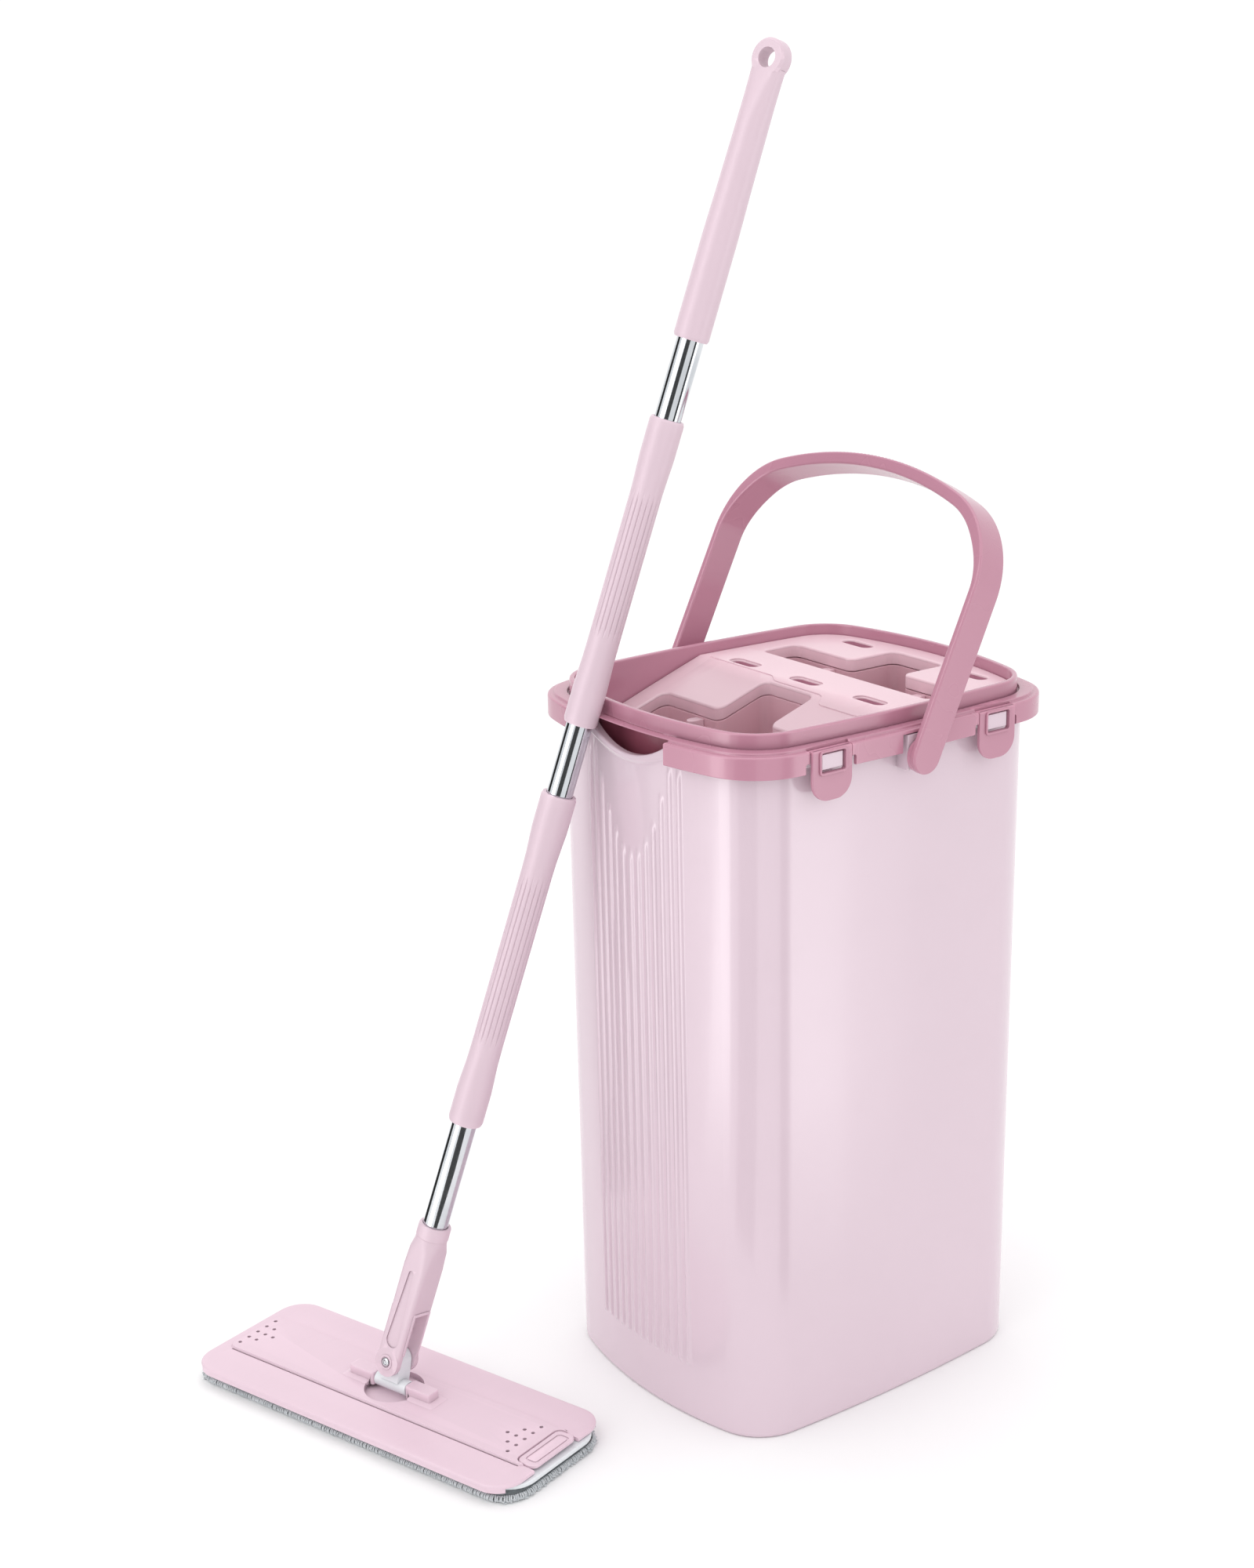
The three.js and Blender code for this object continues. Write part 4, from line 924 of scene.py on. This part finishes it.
def pole_socket():
    stations = [
        (0, 10, 9.2, 0.0), (12, 10, 9.2, 0.0), (30, 10, 9.1, 0.05), (50, 10, 9.3, 0.15), (66, 10.1, 9.7, 0.4),
        (78, 10.2, 10, 0.75), (84, 10.2, 10.2, 1), (86.6, 10, 10, 1), (87.2, 10.4, 10.4, 1),
        (SOCKET_TOP - 1, 10.3, 10.3, 1), (SOCKET_TOP, 9.8, 9.8, 1),
    ]
    shank = loft([blended_ring(a, b, round_, z) for z, a, b, round_ in stations])
    obj = to_object("socket_fork", shank)
    unite(obj, cylinder("x", 9.3, -FORK_HALF, FORK_HALF, steps=48))
    for side in (-1, 1):
        face = rounded_rect(-TONGUE_HALF - 2.0, TONGUE_HALF + 2.0, 8, FORK_WINDOW + 2.0, 1.4, 4)
        unite(obj, moved(prism(face, *span(side, 7, 9.8)), ALONG_Y))
    carve(obj, brick((-TONGUE_HALF - 0.5, -20, -20), (TONGUE_HALF + 0.5, 20, FORK_WINDOW)))
    carve(obj, cylinder("z", TUBE_R + CLEARANCE, 44, 110, steps=48))
    carve(obj, cylinder("x", AXLE_R + CLEARANCE, -30, 30, steps=24))
    foot = arc(0, 15.5, 5.0, pi, 2 * pi, 14, True)
    panel = np.concatenate([foot, arc(0, 62, 2.2, 0, pi, 10, True)])
    for side in (-1, 1):
        carve(obj, moved(prism(panel, *span(side, FORK_HALF - 0.9, 14)), ALONG_X))
    low, high = FORK_HALF - 1, FORK_HALF + 0.7
    ring = curve_profile([(3.4, low), (4.9, low), (4.9, high), (3.4, high), (3.4, low)], [0, 0, 0.5, 0.5, 0])
    for side in (-1, 1):
        unite(obj, faced(turned(ring[:-1], 40, "x"), side))
    soften(obj, 0.35, 2, 35)
    place(obj, POLE)
    dress(obj, POLE_PINK_SHADED, "pole", "mop_plastic", "pole_socket")


def pole_pin():
    head = FORK_HALF + 0.3
    profile = [(0, head - 1), (2.9, head - 1), (2.9, head + 0.5)]
    profile += [(1.5, head + 0.9), (1.2, head + 0.2), (0, head + 0.2)]
    button = turned(curve_profile(profile, [0, 0.1, 0.4, 0.3, 0.2, 0]), 40, "x")
    parts = [cylinder("x", AXLE_R, -head + 0.2, head - 0.2), faced(button, -1), faced(button, 1)]
    dress(to_object("pin_rivet", moved(join_parts(parts), POLE)), STEEL, "pole", "pin_steel", "pole_pin")


def sleeve(key):
    """A grip sleeve: round collars, a tapered waist and long narrow grooves."""
    low, high, end_r, waist_r = SLEEVES[key]
    steps, taper, bore = FLUTES * 14, 45.0, TUBE_R + CLEARANCE
    t = np.linspace(0, 2 * pi, steps, endpoint=False)
    flute_low, flute_high = low + 55.3, high - 52.6 if key == "lower" else high - 44.6
    flutes = np.linspace(flute_low - 1, flute_high + 1, 30)
    tapers = [taper * 0.5, taper * 0.9]
    heights = [low + 2, low + 10, *(low + a for a in tapers), *flutes]
    heights += [*(high - a for a in tapers[::-1]), high - 10, high - 2]
    ends = [(bore, low), (end_r - 0.7, low), (end_r - 0.7, high), (bore, high)]
    caps = [round_ring(r, z, steps) for r, z in ends]
    rings = caps[:2]
    groove = 1 - smooth(np.abs((t * FLUTES / (2 * pi)) % 1 - 0.5) / FLUTE_SHARE)
    for z in heights:
        share = smooth(min(z - low - taper * 0.45, high - taper * 0.45 - z) / (taper * 0.6))
        r = end_r + (waist_r - end_r) * share
        wide = r - FLUTE_DEEP * smooth(min(z - flute_low, flute_high - z) / 4) * groove
        rings.append(round_ring(wide, z, steps))
    rings += caps[2:]
    obj = to_object(f"sleeve_{key}_grip", moved(loft(rings, closed=True), POLE))
    dress(obj, POLE_PINK_SHADED, "pole", "mop_plastic", f"sleeve_{key}", sharp=50)


def tubes():
    joins = {key: (low + high) / 2 for key, (low, high, _, _) in SLEEVES.items()}
    spans = {
        "lower": (46, joins["lower"] - 1.8),
        "middle": (joins["lower"] + 1.8, joins["upper"] - 1.8),
        "upper": (joins["upper"] + 1.8, HANG_HOLE - 58),
    }
    for key, (low, high) in spans.items():
        part = pipe("z", TUBE_R - 1, TUBE_R, low, high, 72, 0.2)
        tube = to_object(f"tube_{key}_chromed", moved(part, POLE))
        dress(tube, CHROME, "pole", "tube_chrome", f"tube_{key}")
    for key, middle in joins.items():
        r = TUBE_R - 1.3
        half = [(0, 26), (r, 26), (r, 1.5), (TUBE_R, 1.5)]
        profile = [(x, middle - z) for x, z in half] + [(x, middle + z) for x, z in half[::-1]]
        plug = to_object(f"coupler_{key}_plug", moved(turned(profile, 32), POLE))
        dress(plug, WHITE, "pole", "white_plastic", f"coupler_{key}")


def grip():
    """The hand grip, which flattens into a loop with a hole to hang the mop by."""
    neck = HANG_HOLE - 14
    stations = [
        (GRIP_BOTTOM, 9.8, 9.8, 1), (GRIP_BOTTOM + 1.6, 10.5, 10.5, 1), (GRIP_BOTTOM + 60, 10.4, 10.4, 1),
        (neck - 60, 9.9, 9.9, 1), (neck - 22, 9.2, 9.6, 1), (neck - 8, 7.6, 9.7, 0.95),
        (neck + 2, 6.2, 10.1, 0.9), (HANG_HOLE - 5, 5.2, 10.5, 0.85),
    ]
    obj = to_object("hand_grip", loft([blended_ring(a, b, k, z, 72) for z, a, b, k in stations]))
    unite(obj, cylinder("x", LOOP_R, -5, 5, 0, HANG_HOLE, 64, 1.4))
    carve(obj, cylinder("x", HOLE_R, -30, 30, 0, HANG_HOLE, 48))
    carve(obj, cylinder("z", TUBE_R + CLEARANCE, GRIP_BOTTOM - 5, neck - 40, steps=48))
    soften(obj, 0.9, 3, 40)
    place(obj, POLE)
    dress(obj, POLE_PINK_SHADED, "pole", "mop_plastic", "grip")


# ---- microfibre pad ----
def pad():
    """A backing cloth with coiled yarn round its edge and short loose loops at its two ends."""
    half_x, half_y = HEAD_SIDE - 3.6, HEAD_END + 1.5
    rings = []
    under, over = ((14, 2.2), (5, 1.4), (2.6, 1.8), (2.2, 2.8)), ((4.5, 4.2), (6.5, 5.4), (8, 6.6), (14, 6.7))
    for shrink, z in under + over:
        outline = centred_rect(half_x - shrink, half_y - shrink, max(20 - shrink, 5), 12, 40)
        ripple = 0.4 * np.sin(outline[:, 1] * 0.11 + 1.0) + 0.3 * np.sin(outline[:, 0] * 0.23)
        rings.append(np.column_stack([outline, np.clip(z + ripple * (0.3 + 0.7 * (shrink < 4)), 0.6, 6.8)]))
    # Painted shade: the base cloth is dark for the shadow under the head's rim.
    base = to_object("pad_cloth", moved(loft(rings), HEAD))
    dress(base, PAD_BASE_SHADED, "mop_head", "pad_fabric", "microfibre_pad", sharp=80)
    outline = centred_rect(half_x, half_y, 19, 14, 60)
    closed = np.concatenate([outline, outline[:1]])
    lengths = travelled(closed)
    tangents = np.gradient(closed, axis=0)
    tangents /= np.linalg.norm(tangents, axis=1, keepdims=True)
    loops = []
    for loose, pitch in ((False, 1.4), (True, 1.5)):
        for i in range(int(lengths[-1] / pitch)):
            s = (i + RNG.uniform(-0.1, 0.1)) * pitch % lengths[-1]
            x, y = (np.interp(s, lengths, closed[:, k]) for k in (0, 1))
            along = [np.interp(s, lengths, tangents[:, k]) for k in (0, 1)]
            if not loose or abs(y) > HEAD_END - 9:
                loops.append(yarn_loop((x, y), along, loose))
    fringe = to_object("pad_fringe", moved(join_parts(loops), HEAD))
    dress(fringe, PAD_LOOP, "mop_head", "pad_fabric", sharp=80)


def yarn_loop(at, along, loose):
    """One yarn loop: a coil standing on the pad's edge, or a loose one that lies outwards near the floor."""
    out = np.array([along[1], -along[0], 0.0])
    ahead = np.array([*along, 0.0])
    up = np.array([0, 0, 1.0])
    thick = RNG.uniform(0.4, 0.5) if loose else RNG.uniform(0.56, 0.66)
    lean = RNG.uniform(-0.5, 0.5)
    angles = np.linspace(-0.5 * pi, 0.5 * pi, 7)
    if loose:
        reach, height = RNG.uniform(1.8, 3.2), RNG.uniform(0.8, 2.6)
        paths = [np.sin(a) * 0.7 * ahead + np.cos(a) * reach * out + up * height for a in angles]
    else:
        radius = RNG.uniform(1.55, 1.8)
        paths = [np.cos(a) * radius * out + up * (2.45 + np.sin(a) * radius) for a in angles]
    base = np.array([*at, 0.0]) - out
    points = np.array([base + p + ahead * lean * cos(a) for p, a in zip(paths, angles)])
    points[:, 2] = np.maximum(points[:, 2], thick)
    rings = []
    for k, p in enumerate(points):
        t = points[min(k + 1, 6)] - points[max(k - 1, 0)]
        t /= np.linalg.norm(t)
        u = np.cross(t, up if loose else ahead)
        u /= np.linalg.norm(u) + 1e-9
        v = np.cross(t, u)
        around = np.linspace(0, 2 * pi, 6, endpoint=False)
        rings.append(p + thick * (np.outer(np.cos(around), u) + np.outer(np.sin(around), v)))
    return loft(rings)


# ---- assembly ----
bucket_shell()
splash_frame()
for row, tab_side in (("front", -1), ("rear", 1)):
    for end, tab_x in (("spout", -TAB_X), ("far", TAB_X)):
        clip_tab(f"clip_tab_{row}_{end}", tab_x, tab_side)
insert_plate()
for kind, slot_x in (("wash", WASH_X), ("dry", DRY_X)):
    well(kind + "_well", slot_x)
    scraper(kind + "_scraper_left", slot_x, 1)
    scraper(kind + "_scraper_right", slot_x, -1)
bail_handle()
head_plate()
release_tab()
backing_plate()
yoke_parts()
pole_socket()
pole_pin()
for key in SLEEVES:
    sleeve(key)
tubes()
grip()
pad()


# ---- stage ----
def area_light(name, location, target, size, power):
    light = bpy.data.lights.new(name, "AREA")
    light.shape, light.size, light.size_y, light.energy = "RECTANGLE", *size, power
    obj = new_object(name, light)
    obj.location = location
    obj.rotation_euler = (Vector(target) - Vector(location)).to_track_quat("-Z", "Y").to_euler()


def floor():
    n = Nodes("pale_floor")
    tint = n.mix(n.ramp(n.noise(3, 3), 0, 1), linear(250, 250, 250), linear(252, 252, 252))
    material = n.set(Base_Color=tint, Roughness=0.9)
    far = 9000
    corners = [(-far, -far, 0), (far, -far, 0), (far, far, 0), (-far, far, 0)]
    obj = to_object("studio_floor", (corners, [(0, 1, 2, 3)]))
    obj.data.materials.append(material)


CARD_NEAR, CARD_FAR, CARD_TALL, CARD_BRIGHT = 0.28, 1.15, 1.7, 0.62


def card(name, start, end, brightness):
    """A card that only reflections see, between two bearings: it lies on the floor, then stands up.

    Its light changes from 1 or less near the set to its full brightness further out.
    """
    t = np.radians(np.linspace(start, end, 7))
    middle = Vector((-120, 0, 0))
    rows = [(CARD_NEAR, 0.001), (CARD_FAR, 0.001), (CARD_FAR, CARD_TALL)]
    around = [(cos(a) / MM, sin(a) / MM) for a in t]
    verts = [(middle.x + r * c, middle.y + r * s, z / MM) for r, z in rows for c, s in around]
    faces = [(k * 7 + i, k * 7 + i + 1, k * 7 + i + 8, k * 7 + i + 7) for k in range(2) for i in range(6)]
    n = Nodes(name)
    white = (1, 1, 1, 1)
    spot = n.add("Mapping", {"Vector": n.coords, "Location": -middle * MM, "Scale": (1, 1, 0)})
    away = n.add("VectorMath", {0: spot.outputs[0]}, operation="LENGTH").outputs["Value"]
    glow = n.ramp(away, min(brightness, 1.0), brightness, (CARD_NEAR, CARD_BRIGHT))
    n.set(Base_Color=(0, 0, 0, 1), Specular_IOR_Level=0, Emission_Color=white, Emission_Strength=glow)
    obj = to_object(name, (np.array(verts), faces))
    obj.data.materials.append(n.material)
    obj.visible_camera = obj.visible_diffuse = obj.visible_shadow = obj.visible_transmission = False


floor()
world = bpy.data.worlds.new("studio")
world.use_nodes = True
background = world.node_tree.nodes["Background"]
background.inputs["Color"].default_value = (1, 1, 1, 1)
background.inputs["Strength"].default_value = 1.06
bpy.context.scene.world = world
for bearings in (
    ("softbox_wide", -66, -53, 2.7),
    ("softbox_edge", -53, -46, 1.5),
    ("softbox_left", 160, 184, 4.0),
    ("flag_narrow", -85, -70, 0.03),
    ("flag_front", 200, 235, 0.08),
    ("flag_back", 105, 135, 0.03),
):
    card(*bearings)
area_light("key", (-1.9, -0.4, 1.5), (-0.05, 0, 0.25), (0.8, 1.6), 3)
area_light("top", (0.0, 0.2, 2.2), (0, 0, 0), (1.6, 1.6), 6)

camera_data = bpy.data.cameras.new("camera")
camera_data.lens = 55.62
camera_data.sensor_width = 36
camera_data.shift_x = -0.1007
camera = new_object("camera", camera_data)
camera.location = (-0.938, -1.114, 0.834)
turn, dip = radians(39.88), radians(17.17)
aim = Vector((sin(turn) * cos(dip), cos(turn) * cos(dip), -sin(dip)))
camera.rotation_euler = aim.to_track_quat("-Z", "Y").to_euler()
bpy.context.scene.camera = camera
bpy.context.scene.view_settings.view_transform = "Standard"
